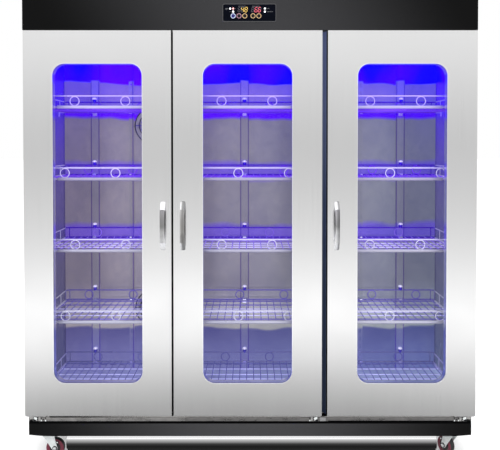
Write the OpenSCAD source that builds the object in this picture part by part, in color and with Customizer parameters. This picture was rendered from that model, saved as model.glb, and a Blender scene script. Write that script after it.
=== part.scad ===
// Three-door hot-air drying cabinet for dishes, on swivel casters.
// The front faces -Y and +Z is up. The origin is on the floor, under the middle of the cabinet.

/* [Cabinet] */
// Width over the header
cabinet_w = 1800; // [1760:10:1860]
// Depth from the front of the handles to the cable gland
cabinet_d = 640; // [630:5:680]
// Height from the floor to the top
cabinet_h = 1850; // [1846:1:1870]
// Height of the black header
header_h = 129; // [124:1:132]
// Height of the cabinet's underside above the floor
clearance_h = 103; // [103:1:106]
// Thickness of the folded sheet
sheet = 1.2; // [1:0.1:1.5]
// Thickness of the insulated walls
wall_t = 28; // [26:1:30]

/* [Doors] */
// Thickness of a door
door_t = 40; // [38:1:42]
// Width of a window
window_w = 355; // [320:5:370]
// Height of door below and above a window
window_margin = 131; // [120:1:150]
// Corner radius of a window
window_r = 48; // [20:1:60]
// Length of a handle
handle_len = 195; // [160:5:260]
// Reach of a handle in front of the door
handle_reach = 40; // [36:1:44]

/* [Shelves] */
// Baskets in each compartment
shelf_count = 5; // [3:1:5]
// Height from one basket to the next
shelf_pitch = 292; // [260:1:292]
// Distance between the deck wires
wire_pitch = 30.5; // [24:0.5:40]
// Height of the basket rim above its bar
rim_h = 45; // [40:1:50]
// Distance between the rings in the rails
ring_pitch = 206; // [150:2:210]

/* [Drip tray] */
// Depth of the tray's pan
tray_deep = 35; // [25:1:40]
// Height of the rolled front
tray_front_h = 55; // [50:1:55]

/* [Casters] */
// Diameter of a wheel
wheel_d = 75; // [70:1:75]
// Width of a wheel
wheel_w = 25; // [20:1:26]
// Distance from the king pin to the axle, seen from above
trail = 28; // [24:1:28]

/* [Hidden] */
$fn = 48;

// Planes, from the front to the back
gland_reach = 16;
y_grip = -cabinet_d / 2;                // front of the handles
y_door = y_grip + handle_reach;         // front of the doors
y_dback = y_door + door_t;              // back of the doors
y_body = y_dback + 4;                   // front of the face frame
y_skin = cabinet_d / 2 - gland_reach;   // outside of the back
y_head = y_door - 2;                    // front of the header
y_duct = 225;                           // front of the rear duct panel
y_liner = y_skin - sheet - wall_t - 5;  // chamber side of the back liner

// Heights
z_bot = clearance_h;
z_rail = z_bot + 65;                    // underside of the lower rail
z_door0 = z_rail + 17;
z_floor = z_rail + 48;                  // top of the chamber floor
z_head = cabinet_h - header_h;          // underside of the header's lip
z_door1 = z_head - 1;
z_ceil = z_head - 31;                   // underside of the chamber ceiling

// Widths
hx = cabinet_w / 2;
xi = hx - 2 - wall_t;                   // chamber side wall
x_split = [-309.5, 297];                // middle of each gap between doors
door_x = [[-hx + 1, -313], [-306, 286], [308, hx]];
mull_x = [[-336, -283], [253, 331]];
comp_x = [[-xi, -336], [-283, 253], [331, xi]];
basket_x = [[-xi + 9, -342], [-277, 247], [337, xi - 9]];

// Doors: side of the hinge is -1 on the left and 1 on the right
hinge_side = [-1, 1, 1];
pin_in = 12;                            // pin axis from the door's edge
pin_y = y_dback - 20;
pin_r = 5;
run = 0.05;                             // radial running clearance
seam = 0.1;                             // gap between pieces that are cut apart
function pin_x(i) = hinge_side[i] < 0 ? door_x[i][0] + pin_in : door_x[i][1] - pin_in;
function mid(p) = (p[0] + p[1]) / 2;
window_h = z_door1 - z_door0 - 2 * window_margin;
z_win = (z_door0 + z_door1) / 2;
grip_x = [door_x[0][1] - 33, door_x[1][0] + 39, door_x[2][0] + 36];
grip_z = 946.5;

// Baskets
basket_y = [-213, 198];                 // axes of the front and rear bars
bar_r = 7.5;                            // radius of the front bar
shelf_top = 1421;
function shelf_z(i) = shelf_top - i * shelf_pitch;
post_x = [-725, -26, 703];
post_w = 40;
// middle of each basket's two rings, for odd and even levels
ring_mid = [[-609, -13, 590], [-650, 55, 672]];
standard_x = [-556, 518];

// Fans
fan_pos = [[-453, 1358], [-453, 500]];
fan_r = 83;

// Controls
panel_x = [-106, 100];
panel_z = [cabinet_h - 94, cabinet_h - 29];
key_x = [-66.8, -43.7, -21.1, 11.5, 34.6];
key_z = cabinet_h - 74;
key_r = 10.1;
display_x = [-26, 28.3];
display_z = cabinet_h - 49;
led_pos = [[-78.7, -45.3], [-66.8, -45], [-66.8, -57], [58.4, -45], [58.4, -57]];

// Casters: king pin places and the angle that each one trails at
caster_x = 820;
caster_y = 225;
caster_xy = [[-caster_x, -caster_y], [caster_x, -caster_y], [-caster_x, caster_y], [caster_x, caster_y]];
caster_turn = [0, 122, 75, 105];
z_plate = z_bot + 5.8;                  // top of the caster plates
wheel_r = wheel_d / 2;

// Tray
tray_x = [-715, 727];
tray_y = [-236, 240];
z_tray = 97;

steel = [0.78, 0.79, 0.80];
steel_dull = [0.62, 0.63, 0.65];
black = [0.07, 0.07, 0.08];

module block(x, y, z) {
    translate([x[0], y[0], z[0]]) cube([x[1] - x[0], y[1] - y[0], z[1] - z[0]]);
}

// A rectangle with round corners, as points
function rounded(x, z, r, n = 9) = [
    for (c = [[x[1] - r, z[1] - r, 0], [x[0] + r, z[1] - r, 90], [x[0] + r, z[0] + r, 180], [x[1] - r, z[0] + r, 270]])
        for (i = [0:n]) [c[0] + r * cos(c[2] + 90 * i / n), c[1] + r * sin(c[2] + 90 * i / n)]
];

// An outline drawn in X and Z, given a thickness along Y
module plate_xz(pts, y) {
    translate([0, y[1], 0]) rotate([90, 0, 0]) linear_extrude(y[1] - y[0]) polygon(pts);
}

// An outline drawn in Y and Z, drawn out along X
module bar_yz(pts, x) {
    translate([x[0], 0, 0]) rotate([90, 0, 90]) linear_extrude(x[1] - x[0]) polygon(pts);
}

module rod_x(x, y, z, r, n = 8) {
    translate([x[0], y, z]) rotate([0, 90, 0]) rotate(22.5) cylinder(h = x[1] - x[0], r = r, $fn = n);
}

module rod_y(x, y, z, r, n = 8) {
    translate([x, y[1], z]) rotate([90, 0, 0]) rotate(22.5) cylinder(h = y[1] - y[0], r = r, $fn = n);
}

module rod_z(x, y, z, r, n = 8) {
    translate([x, y, z[0]]) rotate(22.5) cylinder(h = z[1] - z[0], r = r, $fn = n);
}

module disc_y(x, y, z, r) {
    translate([x, y[1], z]) rotate([90, 0, 0]) cylinder(h = y[1] - y[0], r = r);
}

// ---------------------------------------------------------------- shell

// A side skin with a folded rear edge; s is -1 on the left and 1 on the right
module side_panel(s) {
    xs = hx - 2;
    color(steel) linear_extrude_at(z_bot, cabinet_h - sheet)
        polygon(s < 0
            ? [[-xs, y_body], [-xs + sheet, y_body], [-xs + sheet, y_skin - 2 * sheet],
               [-xs + 16, y_skin - 2 * sheet], [-xs + 16, y_skin - sheet], [-xs, y_skin - sheet]]
            : [[xs, y_body], [xs, y_skin - sheet], [xs - 16, y_skin - sheet],
               [xs - 16, y_skin - 2 * sheet], [xs - sheet, y_skin - 2 * sheet], [xs - sheet, y_body]]);
}

module linear_extrude_at(z0, z1) {
    translate([0, 0, z0]) linear_extrude(z1 - z0) children();
}

module left_side_panel() { side_panel(-1); }

module right_side_panel() { side_panel(1); }

module back_panel() {
    color(steel) difference() {
        block([-hx + 3, hx - 3], [y_skin - sheet, y_skin], [z_bot, cabinet_h - sheet]);
        // vents of the control space and of the base
        for (gx = [-520, 520], i = [0:6])
            block([gx - 90, gx + 90], [y_skin - 5, y_skin + 5], [cabinet_h - 105 + 11 * i, cabinet_h - 100 + 11 * i]);
        for (gx = [-520, 0], i = [0:4])
            block([gx - 90, gx + 90], [y_skin - 5, y_skin + 5], [z_bot + 18 + 11 * i, z_bot + 23 + 11 * i]);
        disc_y(700, [y_skin - 5, y_skin + 5], z_bot + 65, 9);
    }
}

module top_panel() {
    color(steel) block([-hx + 2, hx - 2], [y_head + 20, y_skin], [cabinet_h - sheet, cabinet_h]);
}

module inner_liner_panels() {
    color(steel_dull) {
        for (s = [-1, 1])
            block(s < 0 ? [-xi - sheet, -xi] : [xi, xi + sheet], [y_body + 20, y_liner - seam], [z_floor + seam, z_ceil - seam]);
        block([-xi - sheet, xi + sheet], [y_body + 20, y_liner + sheet], [z_ceil, z_ceil + sheet]);
        block([-xi - sheet, xi + sheet], [y_body + 20, y_liner + sheet], [z_floor - sheet, z_floor]);
        block([-xi - sheet, xi + sheet], [y_liner, y_liner + sheet], [z_floor + seam, z_ceil - seam]);
    }
}

module insulation_batts() {
    color([0.85, 0.80, 0.55]) {
        for (s = [-1, 1])
            block(s < 0 ? [-hx + 2 + sheet, -xi - sheet] : [xi + sheet, hx - 2 - sheet],
                [y_body + 20, y_liner + sheet], [z_floor, z_ceil]);
        block([-xi - sheet, xi + sheet], [y_liner + sheet, y_skin - 2 * sheet], [z_floor, z_ceil]);
        block([-xi, xi], [y_body + 20, y_liner], [z_ceil + sheet, z_ceil + 26]);
        block([-xi, xi], [y_body + 40, y_liner], [z_floor - 30, z_floor - sheet]);
    }
}

// Hollow walls between the compartments
module partition_walls() {
    color(steel_dull) for (m = mull_x) difference() {
        block([m[0] + 1, m[1] - 1], [y_body + 20, y_duct], [z_floor, z_ceil]);
        block([m[0] + 1 + sheet, m[1] - 1 - sheet], [y_body + 15, y_duct + 5], [z_floor + sheet, z_ceil - sheet]);
    }
}

// A folded channel, open at the back
module channel(x, z) {
    difference() {
        block(x, [y_body, y_body + 20], z);
        block([x[0] + sheet, x[1] - sheet], [y_body + sheet, y_body + 25], [z[0] + sheet, z[1] - sheet]);
    }
}

module face_frame() {
    color(steel) {
        channel([-hx + 2 + sheet, -xi + 2], [z_rail, z_head + 6]);
        channel([xi - 2, hx - 2 - sheet], [z_rail, z_head + 6]);
        channel([-xi + 2 + seam, xi - 2 - seam], [z_rail, z_floor]);
        channel([-xi + 2 + seam, xi - 2 - seam], [z_ceil, z_head + 6]);
        for (m = mull_x) channel(m, [z_floor + seam, z_ceil - seam]);
    }
}

module rear_duct_panel() {
    color(steel_dull) difference() {
        block([-xi, xi], [y_duct, y_duct + sheet], [z_floor, z_ceil]);
        for (p = fan_pos) disc_y(p[0], [y_duct - 5, y_duct + 5], p[1], fan_r + 2);
        // return slots near the floor
        for (c = comp_x, i = [-4:4])
            block([mid(c) + 44 * i - 15, mid(c) + 44 * i + 15], [y_duct - 5, y_duct + 5], [z_floor + 12, z_floor + 18]);
        for (c = comp_x, i = [-4:4])
            block([mid(c) + 44 * i - 15, mid(c) + 44 * i + 15], [y_duct - 5, y_duct + 5], [z_floor + 24, z_floor + 30]);
    }
}

// A square tube along X or Y
module tube_x(x, y, z) {
    difference() {
        block(x, y, z);
        block([x[0] - 1, x[1] + 1], [y[0] + 2, y[1] - 2], [z[0] + 2, z[1] - 2]);
    }
}

module tube_y(x, y, z) {
    difference() {
        block(x, y, z);
        block([x[0] + 2, x[1] - 2], [y[0] - 1, y[1] + 1], [z[0] + 2, z[1] - 2]);
    }
}

module base_frame() {
    z = [z_bot + 7, z_bot + 47];
    color(steel_dull) {
        for (s = [-1, 1])
            tube_y(s < 0 ? [-hx + 2 + sheet, -hx + 42 + sheet] : [hx - 42 - sheet, hx - 2 - sheet],
                [y_body, y_skin - 2 * sheet], z);
        tube_x([-hx + 42.2 + sheet, hx - 42.2 - sheet], [y_body, y_body + 40], z);
        tube_x([-hx + 42.2 + sheet, hx - 42.2 - sheet], [y_skin - 2 * sheet - 40, y_skin - 2 * sheet], z);
        for (x = [-300, 300])
            tube_y([x - 20, x + 20], [y_body + 40.2, y_skin - 2 * sheet - 40.2], z);
    }
}

module base_pan() {
    color(steel_dull) block([-hx + 2 + sheet, hx - 2 - sheet], [y_body, y_skin - 2 * sheet], [z_plate, z_bot + 7]);
}

module header_fascia() {
    color(black) difference() {
        union() {
            block([-hx, hx], [y_head, y_head + 1.5], [z_head, cabinet_h]);
            block([-hx, hx], [y_head, y_head + 20], [cabinet_h - 1.5, cabinet_h]);
            block([-hx, hx], [y_head, y_body], [z_head + 6, z_head + 7.5]);
            for (s = [-1, 1])
                block(s < 0 ? [-hx, -hx + 1.5] : [hx - 1.5, hx], [y_head, y_body], [z_head, cabinet_h - 1.5]);
        }
        plate_xz(rounded([panel_x[0] + 3, panel_x[1] - 3], [panel_z[0] + 3, panel_z[1] - 3], 4, 4), [y_head - 5, y_head + 6]);
        // small notches at the lower corners
        for (s = [-1, 1])
            block(s < 0 ? [-hx - 1, -hx + 6] : [hx - 6, hx + 1], [y_head - 1, y_head + 1.6], [z_head - 1, z_head + 4]);
    }
}

module lower_front_rail() {
    color(steel) bar_yz([
        [y_head + 10, z_rail], [y_body, z_rail], [y_body, z_rail + sheet], [y_head + 10 + sheet, z_rail + sheet],
        [y_head + 10 + sheet, z_rail + 13 - sheet], [y_body, z_rail + 13 - sheet], [y_body, z_rail + 13], [y_head + 10, z_rail + 13]
    ], [-hx + 16, hx - 16]);
}

// Folded plinth with clipped top corners and a bottom edge that lifts at its ends
module plinth_fascia() {
    px = hx - 16;
    yf = y_head + 4;
    color(black) {
        plate_xz([[-px, z_bot + 5], [-px + 60, z_bot], [px - 60, z_bot], [px, z_bot + 5],
            [px, z_rail - 7], [px - 6, z_rail - 1], [-px + 6, z_rail - 1], [-px, z_rail - 7]], [yf, yf + 1.5]);
        block([-px + 6, px - 6], [yf, y_body], [z_rail - 2.5, z_rail - 1]);
        block([-px + 60, px - 60], [yf, yf + 16], [z_bot, z_bot + 1.5]);
        for (s = [-1, 1])
            block(s < 0 ? [-px, -px + 1.5] : [px - 1.5, px], [yf, y_body], [z_bot + 5, z_rail - 7]);
    }
}

// Ribbed strip in the wide gap between the centre and right doors
module mullion_seal() {
    g = [door_x[1][1], door_x[2][0]];
    color([0.10, 0.12, 0.28]) {
        difference() {
            block([g[0] + 2, g[1] - 2], [y_body - 3.6, y_body], [z_door0, z_door1]);
            for (i = [0:2]) block([g[0] + 4.5 + 4 * i, g[0] + 6.5 + 4 * i], [y_body - 5, y_body - 2], [z_door0 - 1, z_door1 + 1]);
        }
        block([g[1] - 7, g[1] - 4], [y_body - 24, y_body], [z_door0, z_door1]);
    }
}

// ---------------------------------------------------------------- controls

module control_panel_glass() {
    color([0.05, 0.06, 0.12]) difference() {
        union() {
            plate_xz(rounded(panel_x, panel_z, 5, 5), [y_head - 1.5, y_head]);
            plate_xz(rounded([panel_x[0] + 3.2, panel_x[1] - 3.2], [panel_z[0] + 3.2, panel_z[1] - 3.2], 4, 4), [y_head - 0.5, y_head + 5]);
        }
        for (x = key_x) disc_y(x, [y_head - 5, y_head + 10], key_z, key_r + 0.3);
    }
}

module control_board() {
    yb = y_head + 20;
    color([0.05, 0.35, 0.15]) {
        block([panel_x[0] - 8, panel_x[1] + 8], [yb, yb + 1.6], [panel_z[0] - 6, panel_z[1] + 6]);
        for (x = [panel_x[0] - 3, panel_x[1] + 3], z = [panel_z[0] - 1, panel_z[1] + 1])
            disc_y(x, [y_head + 1.5, yb], z, 3);
    }
    color([0.1, 0.1, 0.1]) {
        for (x = display_x) block([x - 15, x + 15], [y_head + 5.2, yb], [display_z - 11, display_z + 11]);
        for (p = led_pos) disc_y(p[0], [y_head + 5.2, yb], cabinet_h + p[1], 2);
        for (x = key_x) disc_y(x, [yb - 5, yb], key_z, 3);
        block([-90, 80], [yb + 1.6, yb + 25], [panel_z[0] + 5, panel_z[1] - 5]);
    }
}

// A push key: a cap, a flange that keeps it behind the panel, and a stem
module key_button(i) {
    x = key_x[i];
    color([0.75, 0.78, 0.85]) {
        disc_y(x, [y_head - 2.7, y_head + 5.4], key_z, key_r);
        disc_y(x, [y_head + 5.3, y_head + 7], key_z, key_r + 0.9);
        disc_y(x, [y_head + 6.9, y_head + 13.8], key_z, 3.5);
    }
}

module key_button_1() { key_button(0); }

module key_button_2() { key_button(1); }

module key_button_3() { key_button(2); }

module key_button_4() { key_button(3); }

module key_button_5() { key_button(4); }

// ---------------------------------------------------------------- inside

lamp_half = 205;
lamp_y = 40;
lamp_z = z_ceil - 34;

module uv_lamps() {
    for (b = basket_x) {
        color([0.45, 0.45, 1.0]) rod_x([mid(b) - lamp_half, mid(b) + lamp_half], lamp_y, lamp_z, 8, 24);
    }
}

module lamp_holders() {
    color([0.9, 0.9, 0.92]) for (b = basket_x, s = [-1, 1])
        difference() {
            block(s < 0 ? [mid(b) - lamp_half - 12, mid(b) - lamp_half + 14] : [mid(b) + lamp_half - 14, mid(b) + lamp_half + 12],
                [lamp_y - 12, lamp_y + 12], [lamp_z - 12, z_ceil]);
            rod_x([mid(b) - lamp_half - 0.1, mid(b) + lamp_half + 0.1], lamp_y, lamp_z, 8.1, 24);
        }
}

module heater_tubes() {
    y = (y_duct + y_liner) / 2 + 1;
    for (c = comp_x, z = [z_floor + 70, z_floor + 110]) {
        color([0.75, 0.55, 0.45]) rod_x([mid(c) - 190, mid(c) + 190], y, z, 6, 24);
        for (s = [-1, 1]) color([0.92, 0.92, 0.9])
            rod_x(s < 0 ? [mid(c) - 215, mid(c) - 190] : [mid(c) + 190, mid(c) + 215], y, z, 9, 24);
        for (s = [-1, 1]) color(steel_dull)
            block([mid(c) + s * 203 - 2, mid(c) + s * 203 + 2], [y + 9.5, y_liner], [z - 8, z + 8]);
    }
}

// Round shrouds with a motor held on three arms; the motor's bore takes the rotor's shaft
module fan_housings() {
    for (p = fan_pos) {
        color([0.2, 0.2, 0.22]) difference() {
            disc_y(p[0], [y_duct + sheet, y_liner], p[1], fan_r + 2);
            disc_y(p[0], [y_duct, y_liner - 3], p[1], fan_r);
            disc_y(p[0], [y_liner - 5, y_liner + 5], p[1], 68);
        }
        color([0.35, 0.35, 0.37]) difference() {
            union() {
                disc_y(p[0], [y_liner - 14, y_liner], p[1], 32);
                for (a = [30, 150, 270]) translate([p[0], 0, p[1]]) rotate([0, a, 0])
                    block([28, fan_r - 1], [y_liner - 2.8, y_liner], [-6, 6]);
            }
            disc_y(p[0], [y_liner - 20, y_liner + 5], p[1], 4 + run);
        }
    }
}

// Concentric wire rings with spokes, on the chamber side of the duct panel
module fan_guards() {
    color(steel) for (p = fan_pos) {
        for (r = [27, 47, 67, 87]) difference() {
            disc_y(p[0], [y_duct - 5, y_duct - 2], p[1], r);
            disc_y(p[0], [y_duct - 6, y_duct - 1], p[1], r - 3);
        }
        for (a = [0, 60, 120]) translate([p[0], 0, p[1]]) rotate([0, a, 0])
            block([-86, 86], [y_duct - 3, y_duct], [-2, 2]);
    }
}

module fan_rotor(i) {
    yf = y_duct + 4;
    color([0.15, 0.15, 0.17]) translate([fan_pos[i][0], 0, fan_pos[i][1]]) {
        disc_y(0, [yf, y_liner - 15], 0, 28);
        disc_y(0, [yf + 2, y_liner - 1], 0, 4);
        for (a = [0:60:300]) rotate([0, a, 0]) translate([0, (yf + y_liner - 16) / 2, 0]) rotate([32, 0, 0])
            block([24, 78], [-1, 1], [-14, 14]);
    }
}

module fan_rotor_upper() { fan_rotor(0); }

module fan_rotor_lower() { fan_rotor(1); }

module shelf_uprights() {
    color(steel) {
        for (x = post_x) difference() {
            block([x - post_w / 2, x + post_w / 2], [y_duct - 12, y_duct], [z_floor, z_ceil]);
            block([x - post_w / 2 + 1.5, x + post_w / 2 - 1.5], [y_duct - 10.5, y_duct + 1], [z_floor - 1, z_ceil + 1]);
        }
        for (x = standard_x) difference() {
            block([x - 11, x + 11], [y_duct - 10, y_duct], [z_floor, z_ceil]);
            block([x - 9.5, x + 9.5], [y_duct - 8.5, y_duct + 1], [z_floor - 1, z_ceil + 1]);
            for (i = [0:39]) block([x - 3.5, x + 3.5], [y_duct - 12, y_duct - 5], [z_floor + 22 + 36 * i, z_floor + 42 + 36 * i]);
        }
    }
}

// Rear rests with knobs on the posts and standards, and side rests on the walls
module shelf_clips() {
    color(steel) for (i = [0:shelf_count - 1]) {
        z = shelf_z(i);
        for (x = post_x) {
            block([x - 8, x + 8], [basket_y[1] - 5, y_duct - 12], [z - 13, z - 5]);
            disc_y(x, [y_duct - 21, y_duct - 12], z + 54, 8);
        }
        for (x = standard_x) block([x - 5, x + 5], [basket_y[1] - 5, y_duct - 10], [z - 13, z - 5]);
        for (k = [0:2], s = [0, 1], y = [-165, 120]) {
            wall = comp_x[k][s] + (k == 1 ? (s ? 1 : -1) : (abs(comp_x[k][s]) < 400 ? (s ? 1 : -1) : 0));
            inner = basket_x[k][s];
            block(s ? [inner - 9, wall] : [wall, inner + 9], [y, y + 22], [z - 13, z - 5]);
        }
    }
}

// One welded basket: a flat deck, and four upright rails that stand on it
module basket(x, z, rings) {
    y0 = basket_y[0];
    y1 = basket_y[1];
    n = floor((x[1] - x[0] - 20) / wire_pitch);
    w0 = mid(x) - n * wire_pitch / 2;
    rods = [-89, 28, 180];
    // deck
    union() {
        rod_x([x[0], x[1]], y0, z, bar_r);
        rod_x([x[0], x[1]], y1, z, 5);
        for (s = [x[0] + 4.6, x[1] - 4.6]) rod_y(s, [y0, y1], z, 4.5);
        for (y = rods) block([x[0] + 2, x[1] - 2], [y - 2.6, y + 2.6], [z - 6, z - 0.8]);
        for (i = [0:n]) block([w0 + i * wire_pitch - 1.8, w0 + i * wire_pitch + 1.8], [y0, y1], [z - 1.4, z + 2.2]);
    }
    zt = z + rim_h;
    // front and rear rails with rings
    for (r = [[y0, z + 0.924 * bar_r + seam], [y1, z + 4.62 + seam]]) union() {
        rod_x([x[0], x[1]], r[0], zt, 3);
        for (s = [x[0] + 3, x[1] - 3]) block([s - 2.5, s + 2.5], [r[0] - 2.5, r[0] + 2.5], [r[1], zt]);
        ring_r = (zt - 2 - r[1]) / 2;
        for (c = rings) translate([c, r[0] + 2, r[1] + ring_r]) rotate([90, 0, 0])
            difference() {
                cylinder(h = 4, r = ring_r, $fn = 20);
                translate([0, 0, -1]) cylinder(h = 6, r = ring_r - 3, $fn = 20);
            }
    }
    // side rails
    for (s = [x[0] + 3.5, x[1] - 3.5]) union() {
        rod_y(s, [y0 + 3.2, y1 - 3.2], zt, 3);
        for (i = [1:3]) block([s - 2, s + 2], [y0 + i * (y1 - y0) / 4 - 2, y0 + i * (y1 - y0) / 4 + 2], [z + 4.16 + seam, zt]);
    }
}

module baskets(k) {
    color(steel) for (i = [0:shelf_count - 1]) {
        m = ring_mid[i % 2][k];
        basket(basket_x[k], shelf_z(i), [m - ring_pitch / 2, m + ring_pitch / 2]);
    }
}

module shelf_baskets_left() { baskets(0); }

module shelf_baskets_centre() { baskets(1); }

module shelf_baskets_right() { baskets(2); }

// ---------------------------------------------------------------- doors

// Plates with pins, under and over each door's hinge edge
module hinge_plates() {
    color([0.7, 0.7, 0.72]) for (i = [0:2]) {
        x = pin_x(i);
        s = hinge_side[i];
        px = s < 0 ? [x - 8, x + 67] : [x - 67, x + 8];
        // below
        union() {
            block(px, [y_door + 3, y_body], [z_door0 - 4, z_door0 - 1]);
            translate([x, pin_y, z_door0 - 2]) cylinder(h = 20, r = pin_r);
        }
        // above
        union() {
            block(px, [y_door + 3, y_body], [z_door1 + 2, z_door1 + 5]);
            translate([x, pin_y, z_door1 - 18]) cylinder(h = 22, r = pin_r);
        }
    }
}

function door_win(i) = [mid(door_x[i]) - window_w / 2, mid(door_x[i]) + window_w / 2];
win_z = [z_win - window_h / 2, z_win + window_h / 2];

// A folded front pan with hinge bushes, and an inner cover that carries the window's rear frame
module door_shell(i) {
    x = door_x[i];
    w = door_win(i);
    yg = y_door + 6;                    // front of the glass
    color(steel) difference() {
        union() {
            difference() {
                block(x, [y_door, y_dback - sheet], [z_door0, z_door1]);
                block([x[0] + sheet, x[1] - sheet], [y_door + sheet, y_dback + 5], [z_door0 + sheet, z_door1 - sheet]);
            }
            plate_xz(rounded([w[0] - sheet, w[1] + sheet], [win_z[0] - sheet, win_z[1] + sheet], window_r + sheet), [y_door + 0.2, yg]);
            for (z = [[z_door0 + 0.5, z_door0 + 26], [z_door1 - 26, z_door1 - 0.5]])
                block([pin_x(i) - 10, pin_x(i) + 10], [pin_y - 10, pin_y + 10], z);
        }
        plate_xz(rounded(w, win_z, window_r), [y_door - 1, y_dback + 5]);
        for (z = [z_door0 - 1, z_door1 - 27]) translate([pin_x(i), pin_y, z]) cylinder(h = 28, r = pin_r + run);
    }
    color(steel_dull) difference() {
        union() {
            block(x, [y_dback - sheet, y_dback], [z_door0, z_door1]);
            plate_xz(rounded([w[0] - sheet, w[1] + sheet], [win_z[0] - sheet, win_z[1] + sheet], window_r + sheet), [yg + 5, y_dback - 0.5]);
            plate_xz(rounded([w[0] - 12, w[1] + 12], [win_z[0] - 12, win_z[1] + 12], window_r + 12), [yg + 5, yg + 6.2]);
        }
        plate_xz(rounded(w, win_z, window_r), [y_door - 1, y_dback + 5]);
    }
}

module door_shell_left() { door_shell(0); }

module door_shell_centre() { door_shell(1); }

module door_shell_right() { door_shell(2); }

module door_glass(i) {
    w = door_win(i);
    color([0.6, 0.65, 0.9, 0.35])
        plate_xz(rounded([w[0] - 10, w[1] + 10], [win_z[0] - 10, win_z[1] + 10], window_r + 10), [y_door + 6, y_door + 11]);
}

module door_glass_left() { door_glass(0); }

module door_glass_centre() { door_glass(1); }

module door_glass_right() { door_glass(2); }

// A square ring on the back of the door; its hinge side stays behind the pin
module door_gasket(i) {
    x = door_x[i];
    s = hinge_side[i];
    gx = [x[0] + (s < 0 ? 14 : 4), x[1] - (s < 0 ? 4 : 14)];
    gz = [z_door0 + 14, z_door1 - 14];
    color([0.25, 0.25, 0.27]) difference() {
        block(gx, [y_dback, y_body - 0.2], gz);
        block([gx[0] + 16, gx[1] - 16], [y_dback - 1, y_body + 1], [gz[0] + 16, gz[1] - 16]);
    }
}

module door_gasket_left() { door_gasket(0); }

module door_gasket_centre() { door_gasket(1); }

module door_gasket_right() { door_gasket(2); }

// A bowed grip whose two ends stand on the door
module door_handle(i) {
    h = handle_len / 2;
    d = handle_reach;
    n = 16;
    outer = [for (k = [0:n]) let (s = -1 + 2 * k / n) [y_door - d * (1 - pow(abs(s), 3)), grip_z + s * h]];
    inner = [for (k = [n:-1:0]) let (s = -1 + 2 * k / n) [y_door - (d - 9) * (1 - pow(abs(s), 3)), grip_z + s * (h - 15)]];
    color([0.85, 0.85, 0.87]) bar_yz(concat(outer, inner), [grip_x[i] - 11, grip_x[i] + 11]);
}

module door_handle_left() { door_handle(0); }

module door_handle_centre() { door_handle(1); }

module door_handle_right() { door_handle(2); }

// ---------------------------------------------------------------- underneath

fork_top = z_plate - 7;                 // top of the fork's disc

module caster_plates() {
    color([0.72, 0.72, 0.74]) for (p = caster_xy) translate([p[0], p[1], 0]) union() {
        block([-36, 36], [-30, 30], [z_plate - 3, z_plate]);
        translate([0, 0, fork_top + 0.3]) cylinder(h = z_plate - 2 - fork_top, r = 22);
        translate([0, 0, fork_top - 11]) cylinder(h = 14, r = 6);
        translate([0, 0, fork_top - 11.5]) cylinder(h = 4.4, r = 9.5, $fn = 6);
    }
}

// A swivel fork with its axle bolt; it trails along the turned X axis
module caster_fork(k) {
    g = wheel_w / 2 + 2;                // inner face of a leg
    za = wheel_r;                       // axle height
    boss = [for (a = [-150:20:30]) [trail + 11 * cos(a), za + 11 * sin(a)]];
    leg = concat([[23, fork_top - 3], [-19, fork_top - 3], [-19, fork_top - 14]], boss);
    color([0.72, 0.72, 0.74]) translate([caster_xy[k][0], caster_xy[k][1], 0]) rotate(caster_turn[k]) {
        difference() {
            union() {
                translate([0, 0, fork_top - 6]) cylinder(h = 6, r = 23);
                block([-19, 23], [-g - 3, g + 3], [fork_top - 6, fork_top - 3]);
                for (y = [[-g - 3, -g], [g, g + 3]]) plate_xz(leg, y);
                // axle bolt with its head and nut
                translate([trail, g + 7, za]) rotate([90, 0, 0]) cylinder(h = 2 * g + 14, r = 4);
                for (y = [-g - 7, g + 2.8]) translate([trail, y + 4.2, za]) rotate([90, 0, 0]) cylinder(h = 4.2, r = 7, $fn = 6);
            }
            translate([0, 0, fork_top - 20]) cylinder(h = 30, r = 6 + run);
        }
    }
}

module caster_fork_front_left() { caster_fork(0); }

module caster_fork_front_right() { caster_fork(1); }

module caster_fork_rear_left() { caster_fork(2); }

module caster_fork_rear_right() { caster_fork(3); }

// A moulded core with a hub, and a tyre round it
module caster_wheel(k) {
    translate([caster_xy[k][0], caster_xy[k][1], 0]) rotate(caster_turn[k]) translate([trail, 0, wheel_r]) {
        color([0.38, 0.05, 0.07]) difference() {
            union() {
                disc_y(0, [-wheel_w / 2 + 5, wheel_w / 2 - 5], 0, wheel_r - 8);
                disc_y(0, [-wheel_w / 2, wheel_w / 2], 0, 11);
                difference() {
                    disc_y(0, [-wheel_w / 2 + 1, wheel_w / 2 - 1], 0, wheel_r - 8);
                    disc_y(0, [-wheel_w, wheel_w], 0, wheel_r - 12);
                }
            }
            disc_y(0, [-wheel_w, wheel_w], 0, 4 + run);
        }
        color([0.05, 0.05, 0.05]) rotate([90, 0, 0]) rotate_extrude($fn = 72) polygon([
            [wheel_r - 8, -wheel_w / 2 + 1], [wheel_r - 3, -wheel_w / 2 + 1], [wheel_r, -wheel_w / 2 + 5],
            [wheel_r, wheel_w / 2 - 5], [wheel_r - 3, wheel_w / 2 - 1], [wheel_r - 8, wheel_w / 2 - 1]
        ]);
    }
}

module caster_wheel_front_left() { caster_wheel(0); }

module caster_wheel_front_right() { caster_wheel(1); }

module caster_wheel_rear_left() { caster_wheel(2); }

module caster_wheel_rear_right() { caster_wheel(3); }

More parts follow.
